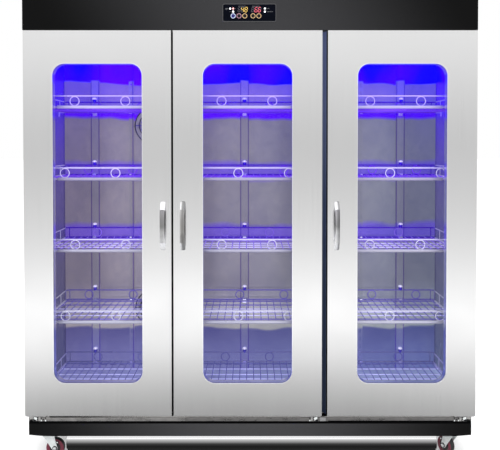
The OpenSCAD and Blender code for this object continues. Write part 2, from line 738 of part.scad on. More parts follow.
// Hanging rails that the tray's side flanges run on
module tray_runners() {
    zs = z_tray - 1.5;                  // top of the ledge
    color(steel_dull) for (s = [-1, 1]) {
        xw = s < 0 ? tray_x[0] - 15 : tray_x[1] + 15;
        for (b = [
            [s < 0 ? [xw - sheet, xw] : [xw, xw + sheet], [zs - sheet, z_plate]],
            [s < 0 ? [xw - sheet, xw + 11] : [xw - 11, xw + sheet], [zs - sheet, zs]],
            [s < 0 ? [xw - 9, xw] : [xw, xw + 9], [z_plate - sheet, z_plate]]
        ]) block(b[0], [tray_y[0] + 4, tray_y[1]], b[1]);
    }
}

// A shallow pan with side flanges and a rolled front
module drip_tray() {
    yc = y_door - 8 + tray_front_h / 2;
    zc = z_bot - 2 - tray_front_h / 2;
    ro = tray_front_h / 2;
    n = 12;
    color(steel) {
        difference() {
            block(tray_x, tray_y, [z_tray - tray_deep, z_tray]);
            block([tray_x[0] + sheet, tray_x[1] - sheet], [tray_y[0] + sheet, tray_y[1] - sheet], [z_tray - tray_deep + sheet, z_tray + 1]);
        }
        block([tray_x[0] - 13, tray_x[0] + 0.5], tray_y, [z_tray - sheet, z_tray]);
        block([tray_x[1] - 0.5, tray_x[1] + 13], tray_y, [z_tray - sheet, z_tray]);
        block([tray_x[0] - 18, tray_x[1] + 18], [tray_y[0] - 1, tray_y[0] + 0.5], [zc - ro, zc + ro]);
        bar_yz(concat(
            [[tray_y[0] + 0.5, zc - ro]],
            [for (i = [0:n]) [yc - ro * sin(180 * i / n), zc - ro * cos(180 * i / n)]],
            [[tray_y[0] + 0.5, zc + ro], [tray_y[0] + 0.5, zc + ro - 1.5]],
            [for (i = [n:-1:0]) [yc - (ro - 1.5) * sin(180 * i / n), zc - (ro - 1.5) * cos(180 * i / n)]],
            [[tray_y[0] + 0.5, zc - ro + 1.5]]
        ), [tray_x[0] - 18, tray_x[1] + 18]);
    }
}

// Strain relief for the mains lead, through the back skin
module cable_gland() {
    color([0.08, 0.08, 0.08]) translate([700, 0, z_bot + 65]) difference() {
        union() {
            disc_y(0, [y_skin - 8, y_skin + 2], 0, 8.8);
            translate([0, y_skin + 6, 0]) rotate([90, 0, 0]) cylinder(h = 6, r = 14, $fn = 6);
            translate([0, y_skin + gland_reach, 0]) rotate([90, 0, 0]) cylinder(h = gland_reach - 5.9, r1 = 9, r2 = 11.5);
        }
        disc_y(0, [y_skin - 10, y_skin + gland_reach + 2], 0, 5.5);
    }
}

left_side_panel();
right_side_panel();
back_panel();
top_panel();
inner_liner_panels();
insulation_batts();
partition_walls();
face_frame();
rear_duct_panel();
base_frame();
base_pan();
header_fascia();
lower_front_rail();
plinth_fascia();
mullion_seal();
control_panel_glass();
control_board();
key_button_1();
key_button_2();
key_button_3();
key_button_4();
key_button_5();
uv_lamps();
lamp_holders();
heater_tubes();
fan_housings();
fan_guards();
fan_rotor_upper();
fan_rotor_lower();
shelf_uprights();
shelf_clips();
shelf_baskets_left();
shelf_baskets_centre();
shelf_baskets_right();
hinge_plates();
door_shell_left();
door_shell_centre();
door_shell_right();
door_glass_left();
door_glass_centre();
door_glass_right();
door_gasket_left();
door_gasket_centre();
door_gasket_right();
door_handle_left();
door_handle_centre();
door_handle_right();
caster_plates();
caster_fork_front_left();
caster_fork_front_right();
caster_fork_rear_left();
caster_fork_rear_right();
caster_wheel_front_left();
caster_wheel_front_right();
caster_wheel_rear_left();
caster_wheel_rear_right();
tray_runners();
drip_tray();
cable_gland();
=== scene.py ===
import math

import bpy
from mathutils import Matrix, Vector


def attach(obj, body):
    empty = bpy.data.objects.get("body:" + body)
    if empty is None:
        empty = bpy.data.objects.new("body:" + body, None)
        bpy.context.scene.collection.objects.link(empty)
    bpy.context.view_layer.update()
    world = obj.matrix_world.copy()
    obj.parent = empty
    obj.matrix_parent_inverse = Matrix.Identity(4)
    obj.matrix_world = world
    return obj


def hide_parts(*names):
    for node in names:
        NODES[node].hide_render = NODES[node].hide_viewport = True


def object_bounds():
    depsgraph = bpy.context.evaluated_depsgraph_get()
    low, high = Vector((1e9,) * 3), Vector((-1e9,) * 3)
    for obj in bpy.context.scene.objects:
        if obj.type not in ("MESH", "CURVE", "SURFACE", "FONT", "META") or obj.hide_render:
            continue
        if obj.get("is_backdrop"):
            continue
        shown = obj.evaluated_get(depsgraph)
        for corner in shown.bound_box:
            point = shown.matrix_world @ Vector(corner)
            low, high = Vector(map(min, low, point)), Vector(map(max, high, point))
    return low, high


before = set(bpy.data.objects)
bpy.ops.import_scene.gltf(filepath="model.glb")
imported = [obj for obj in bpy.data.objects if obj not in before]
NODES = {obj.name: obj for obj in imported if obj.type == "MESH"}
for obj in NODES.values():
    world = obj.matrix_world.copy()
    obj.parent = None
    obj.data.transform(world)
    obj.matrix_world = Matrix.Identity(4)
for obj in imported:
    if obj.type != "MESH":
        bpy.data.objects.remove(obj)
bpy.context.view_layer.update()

scene = bpy.context.scene

# ------------------------------------------------------------------ camera, floor and light

cam_data = bpy.data.cameras.new("camera")
cam = bpy.data.objects.new("camera", cam_data)
scene.collection.objects.link(cam)
cam.location = (0.0, -3.013, 1.265)
cam.rotation_euler = (math.radians(88.88), 0.0, 0.0)
cam_data.lens = 49.64
cam_data.sensor_width = 36.0
cam_data.shift_x = -0.0002
cam_data.shift_y = -0.132
scene.camera = cam

scene.view_settings.view_transform = "Standard"
scene.view_settings.look = "None"
scene.view_settings.exposure = 0.0
scene.view_settings.gamma = 1.0


def ramp(nt, stops, mode="LINEAR"):
    """A colour ramp with (position, value or colour) stops."""
    r = nt.nodes.new("ShaderNodeValToRGB")
    r.color_ramp.interpolation = mode
    e = r.color_ramp.elements
    while len(e) < len(stops):
        e.new(0.5)
    for i, (p, c) in enumerate(stops):
        c = (c, c, c) if isinstance(c, (int, float)) else c
        e[i].position = p
        e[i].color = (*c[:3], 1.0)
    return r


# What polished and satin metal reflects: a soft studio, brighter overhead, with a pale floor further off
world = bpy.data.worlds.new("studio")
scene.world = world
world.use_nodes = True
wn = world.node_tree
wn.nodes.clear()
w_out = wn.nodes.new("ShaderNodeOutputWorld")
w_tc = wn.nodes.new("ShaderNodeTexCoord")
w_sep = wn.nodes.new("ShaderNodeSeparateXYZ")
w_map = wn.nodes.new("ShaderNodeMapRange")
w_map.inputs["From Min"].default_value = -1.0
w_map.inputs["From Max"].default_value = 1.0


def height(deg):
    return (math.sin(math.radians(deg)) + 1) / 2


W_TOP = 1.6     # brightest value of the sky, so that the ramp itself stays under 1
w_ramp = ramp(wn, [(height(d), v / W_TOP) for d, v in (
    (-90, 0.30), (-36, 0.55), (-26, 0.06), (-20, 0.40), (-14, 1.50), (-9, 0.86), (0, 0.57), (9, 0.95), (90, 1.05))])
w_gloss = wn.nodes.new("ShaderNodeBackground")
w_gloss.inputs["Strength"].default_value = W_TOP
w_white = wn.nodes.new("ShaderNodeBackground")
w_white.inputs["Color"].default_value = (1.0, 1.0, 1.0, 1.0)
w_white.inputs["Strength"].default_value = 1.0
w_path = wn.nodes.new("ShaderNodeLightPath")
w_mix = wn.nodes.new("ShaderNodeMixShader")
wn.links.new(w_tc.outputs["Generated"], w_sep.inputs[0])
wn.links.new(w_sep.outputs["Z"], w_map.inputs["Value"])
wn.links.new(w_map.outputs["Result"], w_ramp.inputs["Fac"])
wn.links.new(w_ramp.outputs["Color"], w_gloss.inputs["Color"])
wn.links.new(w_path.outputs["Is Camera Ray"], w_mix.inputs["Fac"])
wn.links.new(w_gloss.outputs[0], w_mix.inputs[1])
wn.links.new(w_white.outputs[0], w_mix.inputs[2])
wn.links.new(w_mix.outputs[0], w_out.inputs["Surface"])


def area(name, place, target, size, power, colour=(1, 1, 1), size_y=None, glossy=True):
    d = bpy.data.lights.new(name, "AREA")
    d.energy = power
    d.color = colour
    d.size = size
    if size_y:
        d.shape = "RECTANGLE"
        d.size_y = size_y
    o = bpy.data.objects.new(name, d)
    scene.collection.objects.link(o)
    o.location = place
    o.rotation_euler = (Vector(target) - Vector(place)).to_track_quat("-Z", "Y").to_euler()
    o.visible_camera = False
    o.visible_glossy = glossy
    return o


area("softbox_left", (-3.2, -3.4, 3.6), (0, 0, 0.6), 2.6, 85, glossy=False)
area("softbox_right", (3.2, -3.4, 3.6), (0, 0, 0.6), 2.6, 85, glossy=False)
area("softbox_back", (0, 3.8, 3.8), (0, 0, 0.8), 3.0, 90, glossy=False)


# ------------------------------------------------------------------ materials

def new_mat(name):
    m = bpy.data.materials.new(name)
    m.use_nodes = True
    nt = m.node_tree
    b = next(n for n in nt.nodes if n.type == "BSDF_PRINCIPLED")
    return m, nt, b


def coords(nt, scale=(1, 1, 1), rotation=(0, 0, 0)):
    tc = nt.nodes.new("ShaderNodeTexCoord")
    mp = nt.nodes.new("ShaderNodeMapping")
    mp.inputs["Scale"].default_value = scale
    mp.inputs["Rotation"].default_value = rotation
    nt.links.new(tc.outputs["Object"], mp.inputs["Vector"])
    return mp.outputs["Vector"]


def noise(nt, vec, scale, detail=3.0, rough=0.55, distortion=0.0):
    n = nt.nodes.new("ShaderNodeTexNoise")
    n.inputs["Scale"].default_value = scale
    n.inputs["Detail"].default_value = detail
    n.inputs["Roughness"].default_value = rough
    n.inputs["Distortion"].default_value = distortion
    nt.links.new(vec, n.inputs["Vector"])
    return n.outputs["Fac"]


def remap(nt, value, lo, hi, out_lo, out_hi):
    m = nt.nodes.new("ShaderNodeMapRange")
    m.inputs["From Min"].default_value = lo
    m.inputs["From Max"].default_value = hi
    m.inputs["To Min"].default_value = out_lo
    m.inputs["To Max"].default_value = out_hi
    nt.links.new(value, m.inputs["Value"])
    return m.outputs["Result"]


def mix_colour(nt, fac, a, b, blend="MIX"):
    m = nt.nodes.new("ShaderNodeMix")
    m.data_type = "RGBA"
    m.blend_type = blend
    for key, v in ((0, fac), (6, a), (7, b)):
        if isinstance(v, (int, float)):
            m.inputs[key].default_value = v
        elif isinstance(v, tuple):
            m.inputs[key].default_value = (*v[:3], 1.0)
        else:
            nt.links.new(v, m.inputs[key])
    return m.outputs[2]


def math_node(nt, op, a, b=None):
    m = nt.nodes.new("ShaderNodeMath")
    m.operation = op
    for i, v in enumerate((a, b)):
        if v is None:
            continue
        if isinstance(v, (int, float)):
            m.inputs[i].default_value = v
        else:
            nt.links.new(v, m.inputs[i])
    return m.outputs[0]


def bump(nt, b, heights, strength, distance):
    n = nt.nodes.new("ShaderNodeBump")
    n.inputs["Strength"].default_value = strength
    n.inputs["Distance"].default_value = distance
    nt.links.new(heights, n.inputs["Height"])
    nt.links.new(n.outputs["Normal"], b.inputs["Normal"])
    return n


def brushed(name, base, rough, grain=(900, 900, 6), spread=0.04, depth=0.06, tint=None, smudge=0.03, metallic=1.0, aniso=0.0,
            wave=0.0, wave_scale=3.0):
    """Brushed or satin sheet: fine lines along one axis, with a faint cloudiness where it was wiped."""
    m, nt, b = new_mat(name)
    b.inputs["Metallic"].default_value = metallic
    lines = noise(nt, coords(nt, grain), 1.0, 4.0, 0.6)
    cloud = noise(nt, coords(nt, (1, 1, 1)), 4.5, 3.0, 0.5, 0.4)
    dark = tuple(c * (1 - spread * 1.6) for c in base)
    light = tuple(min(1.0, c * (1 + spread)) for c in base)
    c1 = mix_colour(nt, remap(nt, lines, 0.3, 0.7, 0.0, 1.0), dark, light)
    wiped = tint or tuple(c * 0.97 for c in base)
    c2 = mix_colour(nt, remap(nt, cloud, 0.35, 0.75, 0.0, 0.35), c1, wiped)
    nt.links.new(c2, b.inputs["Base Color"])
    r1 = remap(nt, lines, 0.25, 0.75, rough - spread * 0.8, rough + spread * 0.8)
    r2 = remap(nt, cloud, 0.3, 0.7, -smudge, smudge)
    nt.links.new(math_node(nt, "ADD", r1, r2), b.inputs["Roughness"])
    if aniso:
        b.inputs["Anisotropic"].default_value = aniso
    if wave:
        big = noise(nt, coords(nt, (1, 1, 1)), wave_scale, 2.0, 0.5, 0.6)
        fine = bump(nt, b, lines, depth, 0.0002)
        n2 = nt.nodes.new("ShaderNodeBump")
        n2.inputs["Strength"].default_value = 1.0
        n2.inputs["Distance"].default_value = wave
        nt.links.new(big, n2.inputs["Height"])
        nt.links.new(n2.outputs["Normal"], fine.inputs["Normal"])
    else:
        bump(nt, b, lines, depth, 0.0002)
    return m


def coat(name, base, rough, peel=180, depth=0.05, edge=None, metallic=0.0, painted_sheen=None, spec=0.5):
    """Powder coat or lacquer: a fine orange peel, a broad change of roughness, and, where painted_sheen is given, a
    painted sheen.
    """
    m, nt, b = new_mat(name)
    b.inputs["Metallic"].default_value = metallic
    b.inputs["Specular IOR Level"].default_value = spec
    grain = noise(nt, coords(nt), peel, 2.0, 0.5)
    broad = noise(nt, coords(nt), 2.2, 2.0, 0.5)
    c = mix_colour(nt, remap(nt, grain, 0.3, 0.7, 0.0, 1.0), tuple(x * 0.86 for x in base), tuple(x * 1.12 for x in base))
    if painted_sheen:
        # painted sheen: lighter towards the middle of the cabinet's width, on a slight slant
        tc = nt.nodes.new("ShaderNodeTexCoord")
        sp = nt.nodes.new("ShaderNodeSeparateXYZ")
        nt.links.new(tc.outputs["Object"], sp.inputs[0])
        slant = math_node(nt, "ADD", sp.outputs["X"], math_node(nt, "MULTIPLY", sp.outputs["Z"], painted_sheen[2]))
        off = math_node(nt, "ABSOLUTE", math_node(nt, "SUBTRACT", slant, painted_sheen[3]))
        g = nt.nodes.new("ShaderNodeMapRange")
        g.interpolation_type = "SMOOTHSTEP"
        g.inputs["From Min"].default_value = painted_sheen[1]
        g.inputs["From Max"].default_value = 0.03
        g.inputs["To Min"].default_value = 0.0
        g.inputs["To Max"].default_value = 1.0
        nt.links.new(off, g.inputs["Value"])
        c = mix_colour(nt, g.outputs["Result"], c, mix_colour(nt, remap(nt, grain, 0.3, 0.7, 0.0, 1.0),
                       tuple(x * 0.95 for x in painted_sheen[0]), tuple(x * 1.05 for x in painted_sheen[0])))
    nt.links.new(c, b.inputs["Base Color"])
    nt.links.new(math_node(nt, "ADD", remap(nt, grain, 0.3, 0.7, rough - 0.04, rough + 0.04),
                           remap(nt, broad, 0.3, 0.7, -0.04, 0.04)), b.inputs["Roughness"])
    bump(nt, b, grain, depth, 0.0004)
    return m


def plastic(name, base, rough, grain=700, depth=0.12, spec=0.5, spread=0.12):
    m, nt, b = new_mat(name)
    b.inputs["Specular IOR Level"].default_value = spec
    g = noise(nt, coords(nt), grain, 2.0, 0.6)
    big = noise(nt, coords(nt), 14.0, 2.0, 0.5)
    c = mix_colour(nt, remap(nt, g, 0.3, 0.7, 0.0, 1.0), tuple(x * (1 - spread) for x in base), tuple(min(1, x * (1 + spread)) for x in base))
    c = mix_colour(nt, remap(nt, big, 0.4, 0.7, 0.0, 0.25), c, tuple(x * 0.8 for x in base))
    nt.links.new(c, b.inputs["Base Color"])
    nt.links.new(remap(nt, g, 0.25, 0.75, rough - 0.06, rough + 0.06), b.inputs["Roughness"])
    bump(nt, b, g, depth, 0.0003)
    return m


def glow(name, colour, strength, base=(0.02, 0.02, 0.02), core=None):
    """A lit part, its colour mixed by a faint unevenness with a brighter core colour, if one is given."""
    m, nt, b = new_mat(name)
    b.inputs["Base Color"].default_value = (*base, 1.0)
    b.inputs["Roughness"].default_value = 0.3
    g = noise(nt, coords(nt), 260, 1.0, 0.5)
    c = mix_colour(nt, remap(nt, g, 0.3, 0.7, 0.0, 1.0), tuple(x * 0.9 for x in colour), tuple(min(1, x * 1.05) for x in (core or colour)))
    nt.links.new(c, b.inputs["Emission Color"])
    b.inputs["Emission Strength"].default_value = strength
    return m


def lit_sheet(name, stops, rough, glow, metallic=0.45, grain=(3, 400, 400), wave=0.0018, wave_scale=2.6, ragged=0.010, spec=0.12, cloud=0.16,
              lines=0.03, phase=0.0, band=None, rear=None, hem_shade=None, across=None, corner_shade=None, mottle=0.0):
    """Satin metal inside the cabinet, whose tone follows the height with light and shade painted in: the lamps under
    the ceiling colour the upper part of every wall as painted light, and the sheet glows with its own tone.
    """
    m, nt, b = new_mat(name)
    b.inputs["Metallic"].default_value = metallic
    b.inputs["Specular IOR Level"].default_value = spec
    tc = nt.nodes.new("ShaderNodeTexCoord")
    sp = nt.nodes.new("ShaderNodeSeparateXYZ")
    nt.links.new(tc.outputs["Object"], sp.inputs[0])
    mp = nt.nodes.new("ShaderNodeMapping")
    mp.inputs["Location"].default_value = (phase, 0.3 * phase, 0.0)
    mp.inputs["Scale"].default_value = (1.0, 1.0, 0.15)
    nt.links.new(tc.outputs["Object"], mp.inputs["Vector"])
    edge = noise(nt, mp.outputs["Vector"], 5.0, 2.0, 0.45)
    z = math_node(nt, "ADD", sp.outputs["Z"], remap(nt, edge, 0.3, 0.7, -ragged, ragged))
    r = ramp(nt, [((h - 0.2) / 1.5, c) for h, c in stops])
    nt.links.new(remap(nt, z, 0.2, 1.7, 0.0, 1.0), r.inputs["Fac"])
    c = r.outputs["Color"]
    if band:
        # painted lamp light on the strip of wall next to the lamps, from violet to pure blue
        hue = noise(nt, coords(nt, (1.0, 1.0, 0.6)), 3.6, 2.0, 0.5, 0.3)
        c = mix_colour(nt, remap(nt, z, band - 0.003, band + 0.003, 0.0, 1.0), c, mix_colour(nt, remap(nt, hue, 0.40, 0.60, 0, 1), (0.125, 0.0, 0.86), (0.006, 0.0, 1.0)))
    if across:
        # a faint drift of the painted light's colour across the cabinet, or one side of a part painted lighter or
        # darker
        tint = ramp(nt, [((x + 0.95) / 1.9, v) for x, v in across])
        nt.links.new(remap(nt, sp.outputs["X"], -0.95, 0.95, 0.0, 1.0), tint.inputs["Fac"])
        doubled = mix_colour(nt, 1.0, tint.outputs["Color"], tint.outputs["Color"], "ADD")
        c = mix_colour(nt, 1.0, c, doubled, "MULTIPLY")
    if corner_shade:
        c = mix_colour(nt, remap(nt, sp.outputs["Y"], 0.190, 0.222, 0.0, 1.0), c, mix_colour(nt, 1.0, c, corner_shade, "MULTIPLY"))
    if mottle:
        spots = noise(nt, coords(nt, (1.0, 1.0, 0.8)), 24.0, 4.0, 0.65, 0.6)
        c = mix_colour(nt, 1.0, c, mix_colour(nt, remap(nt, spots, 0.34, 0.66, 0, 1), (1 - mottle, 1 - mottle, 1 - mottle * 0.5), (1, 1, 1)), "MULTIPLY")
    if rear:
        # the far wires stand in the shade of the shelf above
        far = ramp(nt, [((h - 0.2) / 1.5, c2) for h, c2 in rear[0]])
        nt.links.new(remap(nt, z, 0.2, 1.7, 0.0, 1.0), far.inputs["Fac"])
        c = mix_colour(nt, remap(nt, sp.outputs["Y"], rear[1], rear[2], 0.0, 1.0), c, far.outputs["Color"])
    if hem_shade:
        # painted shade along the folded edge down each side of a post
        for x, half, w in hem_shade:
            off = math_node(nt, "ABSOLUTE", math_node(nt, "SUBTRACT", sp.outputs["X"], x))
            dist = math_node(nt, "ABSOLUTE", math_node(nt, "SUBTRACT", off, half))
            c = mix_colour(nt, remap(nt, dist, w * 0.6, w * 1.3, 1.0, 0.0), c, mix_colour(nt, 1.0, c, (0.42, 0.30, 0.80), "MULTIPLY"))
    soft = noise(nt, coords(nt, (1.0, 1.0, 0.55)), 3.4, 2.0, 0.5, 0.5)
    fine = noise(nt, coords(nt, grain), 1.0, 3.0, 0.6)
    c = mix_colour(nt, 1.0, c, mix_colour(nt, remap(nt, soft, 0.3, 0.7, 0, 1), (1 - cloud, 1 - cloud, 1 - cloud * 0.4), (1, 1, 1)), "MULTIPLY")
    c = mix_colour(nt, 1.0, c, mix_colour(nt, remap(nt, fine, 0.3, 0.7, 0, 1), (1 - lines,) * 3, (1, 1, 1)), "MULTIPLY")
    nt.links.new(c, b.inputs["Base Color"])
    # the sheet glows with its own tone: painted light
    nt.links.new(c, b.inputs["Emission Color"])
    b.inputs["Emission Strength"].default_value = glow
    nt.links.new(remap(nt, soft, 0.3, 0.7, rough - 0.03, rough + 0.03), b.inputs["Roughness"])
    if wave:
        big = noise(nt, coords(nt, (1, 1, 1)), wave_scale, 1.0, 0.5, 0.4)
        n2 = nt.nodes.new("ShaderNodeBump")
        n2.inputs["Strength"].default_value = 1.0
        n2.inputs["Distance"].default_value = wave
        nt.links.new(big, n2.inputs["Height"])
        nt.links.new(n2.outputs["Normal"], b.inputs["Normal"])
    return m


M = {}
M["door_steel"] = brushed("door_steel", (0.87, 0.87, 0.872), 0.17, grain=(700, 700, 2.5), spread=0.025, depth=0.03, smudge=0.012)
m = M["door_steel"]
nt = m.node_tree
b = next(n for n in nt.nodes if n.type == "BSDF_PRINCIPLED")
old = b.inputs["Base Color"].links[0].from_socket
tc = nt.nodes.new("ShaderNodeTexCoord")
sp = nt.nodes.new("ShaderNodeSeparateXYZ")
nt.links.new(tc.outputs["Object"], sp.inputs[0])
# the folded sides of the window openings: a violet tint, bluer towards the top, with a glow, which is painted lamp
# light from inside the cabinet
inside = math_node(nt, "LESS_THAN", math_node(nt, "ABSOLUTE", math_node(nt, "SUBTRACT", sp.outputs["Y"], -0.2620)), 0.0165)
inside = math_node(nt, "MULTIPLY", inside, math_node(nt, "LESS_THAN", math_node(nt, "ABSOLUTE", math_node(nt, "SUBTRACT", sp.outputs["Z"], 0.9525)), 0.640))
near = None
for x in (-0.606, -0.010, 0.604):
    q = math_node(nt, "LESS_THAN", math_node(nt, "ABSOLUTE", math_node(nt, "SUBTRACT", sp.outputs["X"], x)), 0.181)
    near = q if near is None else math_node(nt, "MAXIMUM", near, q)
inside = math_node(nt, "MULTIPLY", inside, near)
cast = ramp(nt, [(0.0, (0.62, 0.64, 0.88)), (0.5, (0.66, 0.62, 0.84)), (1.0, (0.50, 0.40, 1.0))])
nt.links.new(remap(nt, sp.outputs["Z"], 0.31, 1.60, 0.0, 1.0), cast.inputs["Fac"])
nt.links.new(mix_colour(nt, inside, old, mix_colour(nt, 1.0, old, cast.outputs["Color"], "MULTIPLY")), b.inputs["Base Color"])
nt.links.new(mix_colour(nt, inside, (0.0, 0.0, 0.0), mix_colour(nt, 1.0, cast.outputs["Color"], (0.07, 0.08, 0.17), "MULTIPLY")), b.inputs["Emission Color"])
b.inputs["Emission Strength"].default_value = 1.0
M["case_steel"] = brushed("case_steel", (0.80, 0.802, 0.81), 0.36, grain=(90, 90, 0.8), spread=0.022, depth=0.012, smudge=0.02, metallic=0.88)
M["top_steel"] = brushed("top_steel", (0.80, 0.802, 0.81), 0.36, grain=(0.8, 90, 90), spread=0.022, depth=0.012, smudge=0.02, metallic=0.88)
SHELF_Z = [0.837, 1.129]        # the two middle shelves, whose baskets gather the lamps' light on the wall above them
WALL = (0.218, 0.208, 0.226)
GATHERED = (0.18, 0.12, 0.48)
SHADED = (0.12, 0.010, 0.68)    # right above the top shelf, next to the lamps


def by_height(low, plain, high):
    """Tones of a rear sheet, with light and shade painted in: daylight low down, the plain sheet between the shelves,
    the lamps' light above each shelf.
    """
    out = list(low)
    for h in SHELF_Z:
        out += [(h - 0.03, plain), (h - 0.004, GATHERED), (h + 0.048, GATHERED), (h + 0.072, plain)]
    return out + [(1.385, plain), (1.400, SHADED), (1.421, SHADED), (1.430, high), (1.555, high)]


# painted light and shade by height for the rear sheet, the posts and the side walls
REAR_TONES = by_height([(0.25, (0.21, 0.22, 0.39)), (0.403, (0.12, 0.12, 0.27)), (0.412, (0.43, 0.42, 0.36)), (0.52, (0.32, 0.31, 0.33)), (0.62, WALL)], WALL, (0.20, 0.14, 0.46))
POST_TONES = by_height([(0.25, (0.21, 0.21, 0.41)), (0.403, (0.19, 0.19, 0.33)), (0.412, (0.38, 0.37, 0.34)), (0.54, (0.27, 0.265, 0.30)), (0.62, (0.21, 0.20, 0.22))], (0.21, 0.20, 0.22), (0.20, 0.15, 0.50))
SIDE_TONES = [(0.222, (0.34, 0.36, 0.60)), (0.232, (0.13, 0.14, 0.24)), (0.70, (0.13, 0.12, 0.22)), (1.10, (0.13, 0.10, 0.32)), (1.551, (0.09, 0.01, 0.80))]
# the lamps differ a little, so the painted light's colour drifts from warm at the left to cool at the right: halved
# here and doubled in the material
CASTS = [(-0.95, (0.60, 0.55, 0.55)), (0.0, (0.54, 0.54, 0.53)), (0.95, (0.44, 0.51, 0.53))]
SIDE_CASTS = [(-0.95, (0.48, 0.46, 0.46)), (0.0, (0.53, 0.55, 0.48)), (0.95, (0.60, 0.66, 0.52))]
POST_CASTS = [(-0.95, (0.58, 0.57, 0.57)), (0.0, (0.50, 0.50, 0.50)), (0.95, (0.47, 0.53, 0.55))]
M["liner_steel"] = lit_sheet("liner_steel", SIDE_TONES, 0.26, 0.50, metallic=0.45, wave=0.0012, wave_scale=3.2, spec=0.03, band=1.556, across=SIDE_CASTS, corner_shade=(0.55, 0.50, 0.75), mottle=0.18)
M["duct_steel"] = lit_sheet("duct_steel", REAR_TONES, 0.22, 0.62, metallic=0.45, wave=0.0018, wave_scale=2.6, ragged=0.013, spec=0.03, band=1.556, across=CASTS, mottle=0.14)
# the face frame: steel in a dark tone, painted shade for the door gaps
M["frame_steel"] = brushed("frame_steel", (0.30, 0.30, 0.315), 0.30, grain=(500, 500, 4), spread=0.05)
M["rail_steel"] = brushed("rail_steel", (0.72, 0.71, 0.70), 0.22, grain=(4, 500, 700), spread=0.10, depth=0.10, smudge=0.05)
M["strip_steel"] = brushed("strip_steel", (0.40, 0.39, 0.385), 0.30, grain=(26, 60, 60), spread=0.16, depth=0.10, smudge=0.05)
M["strip_dark"] = brushed("strip_dark", (0.27, 0.262, 0.26), 0.32, grain=(26, 60, 60), spread=0.18, depth=0.10, smudge=0.05)
M["base_steel"] = coat("base_steel", (0.20, 0.205, 0.215), 0.45, peel=240, metallic=0.6)
# header and plinth: a near-black coat with a painted sheen, lighter towards the middle
M["header_black"] = coat("header_black", (0.0024, 0.0024, 0.0025), 0.34, peel=420, depth=0.04, painted_sheen=((0.033, 0.033, 0.0352), 0.86, 0.55, 1.0), spec=0.07)
M["plinth_black"] = coat("plinth_black", (0.0036, 0.0036, 0.0037), 0.36, peel=420, depth=0.04, painted_sheen=((0.048, 0.048, 0.0505), 0.92, 0.0, 0.0), spec=0.08)
POSTS = [(x, 0.0178, 0.0022) for x in (-0.725, -0.026, 0.703)] + [(-0.5485, 0.0, 0.0024)]
M["upright_steel"] = lit_sheet("upright_steel", POST_TONES, 0.22, 0.60, metallic=0.45, grain=(500, 500, 5), wave=0.0, ragged=0.007, spec=0.03, cloud=0.10, phase=3.1, band=1.566, hem_shade=POSTS, across=POST_CASTS, mottle=0.08)
# the wires' tones by height are painted lamp light and shade, violet towards the lamps; the bright, rail, rod and deck
# wire materials are lighter and darker copies of one wire, painted light and shade
WIRE_TONES = [(0.25, (0.52, 0.50, 0.78)), (0.60, (0.62, 0.62, 0.68)), (1.18, (0.62, 0.56, 0.84)), (1.60, (0.50, 0.35, 0.95))]
ROD_TONES = [(0.25, (0.58, 0.58, 0.90)), (0.60, (0.56, 0.54, 0.78)), (0.90, (0.62, 0.55, 0.90)), (1.14, (0.24, 0.08, 0.80)), (1.60, (0.17, 0.05, 0.75))]
DECK_TONES = [(0.25, (0.14, 0.14, 0.37)), (0.55, (0.15, 0.12, 0.47)), (0.80, (0.32, 0.21, 0.77)), (1.14, (0.24, 0.07, 0.84)), (1.60, (0.15, 0.03, 0.68))]
REAR_WIRE = [(0.25, (0.22, 0.22, 0.42)), (0.60, (0.20, 0.17, 0.48)), (0.82, (0.09, 0.02, 0.56)), (1.60, (0.105, 0.016, 0.62))]
# the thick front rails, duller than the thin wires
RAIL_TONES = [(0.25, (0.33, 0.31, 0.45)), (0.60, (0.42, 0.42, 0.45)), (1.10, (0.33, 0.31, 0.40)), (1.45, (0.44, 0.40, 0.64))]
M["wire_bright"] = lit_sheet("wire_bright", WIRE_TONES, 0.26, 0.22, metallic=0.60, grain=(260, 260, 260), wave=0.0, ragged=0.0, spec=0.5, cloud=0.10, rear=(REAR_WIRE, 0.150, 0.185))
M["wire_rail"] = lit_sheet("wire_rail", RAIL_TONES, 0.30, 0.20, metallic=0.50, grain=(40, 260, 260), wave=0.0, ragged=0.0, spec=0.3, cloud=0.10)
M["wire_rod"] = lit_sheet("wire_rod", ROD_TONES, 0.26, 0.55, metallic=0.40, grain=(260, 260, 260), wave=0.0, ragged=0.0, spec=0.4, cloud=0.10)
M["wire_deck"] = lit_sheet("wire_deck", DECK_TONES, 0.26, 0.45, metallic=0.60, grain=(260, 260, 260), wave=0.0, ragged=0.0, spec=0.5, cloud=0.12)
M["wire_steel"] = M["wire_bright"]
# clips take the wires' painted tones; the caps' near-white tone and glow are a painted highlight, the bodies' dark
# violet is painted shade
M["clip_steel"] = lit_sheet("clip_steel", WIRE_TONES, 0.14, 0.25, metallic=0.90, grain=(300, 300, 300), wave=0.0, ragged=0.0, spec=0.5, cloud=0.08)
M["clip_cap"] = lit_sheet("clip_cap", [(0.2, (0.90, 0.88, 1.0)), (1.6, (0.92, 0.84, 1.0))], 0.16, 0.55, metallic=0.80, grain=(300, 300, 300), wave=0.0, ragged=0.0, spec=0.5, cloud=0.05)
M["clip_body"] = lit_sheet("clip_body", [(0.2, (0.10, 0.09, 0.42)), (0.9, (0.07, 0.02, 0.60)), (1.6, (0.05, 0.01, 0.70))], 0.20, 0.35, metallic=0.80, grain=(300, 300, 300), wave=0.0, ragged=0.0, spec=0.5, cloud=0.05)
M["hinge_steel"] = brushed("hinge_steel", (0.60, 0.60, 0.61), 0.28, grain=(5, 300, 300), spread=0.10, depth=0.10)
M["pin_steel"] = brushed("pin_steel", (0.55, 0.55, 0.56), 0.30, grain=(300, 300, 4), spread=0.10)
M["polished"] = brushed("polished", (0.93, 0.93, 0.94), 0.08, grain=(300, 300, 300), spread=0.015, depth=0.01)
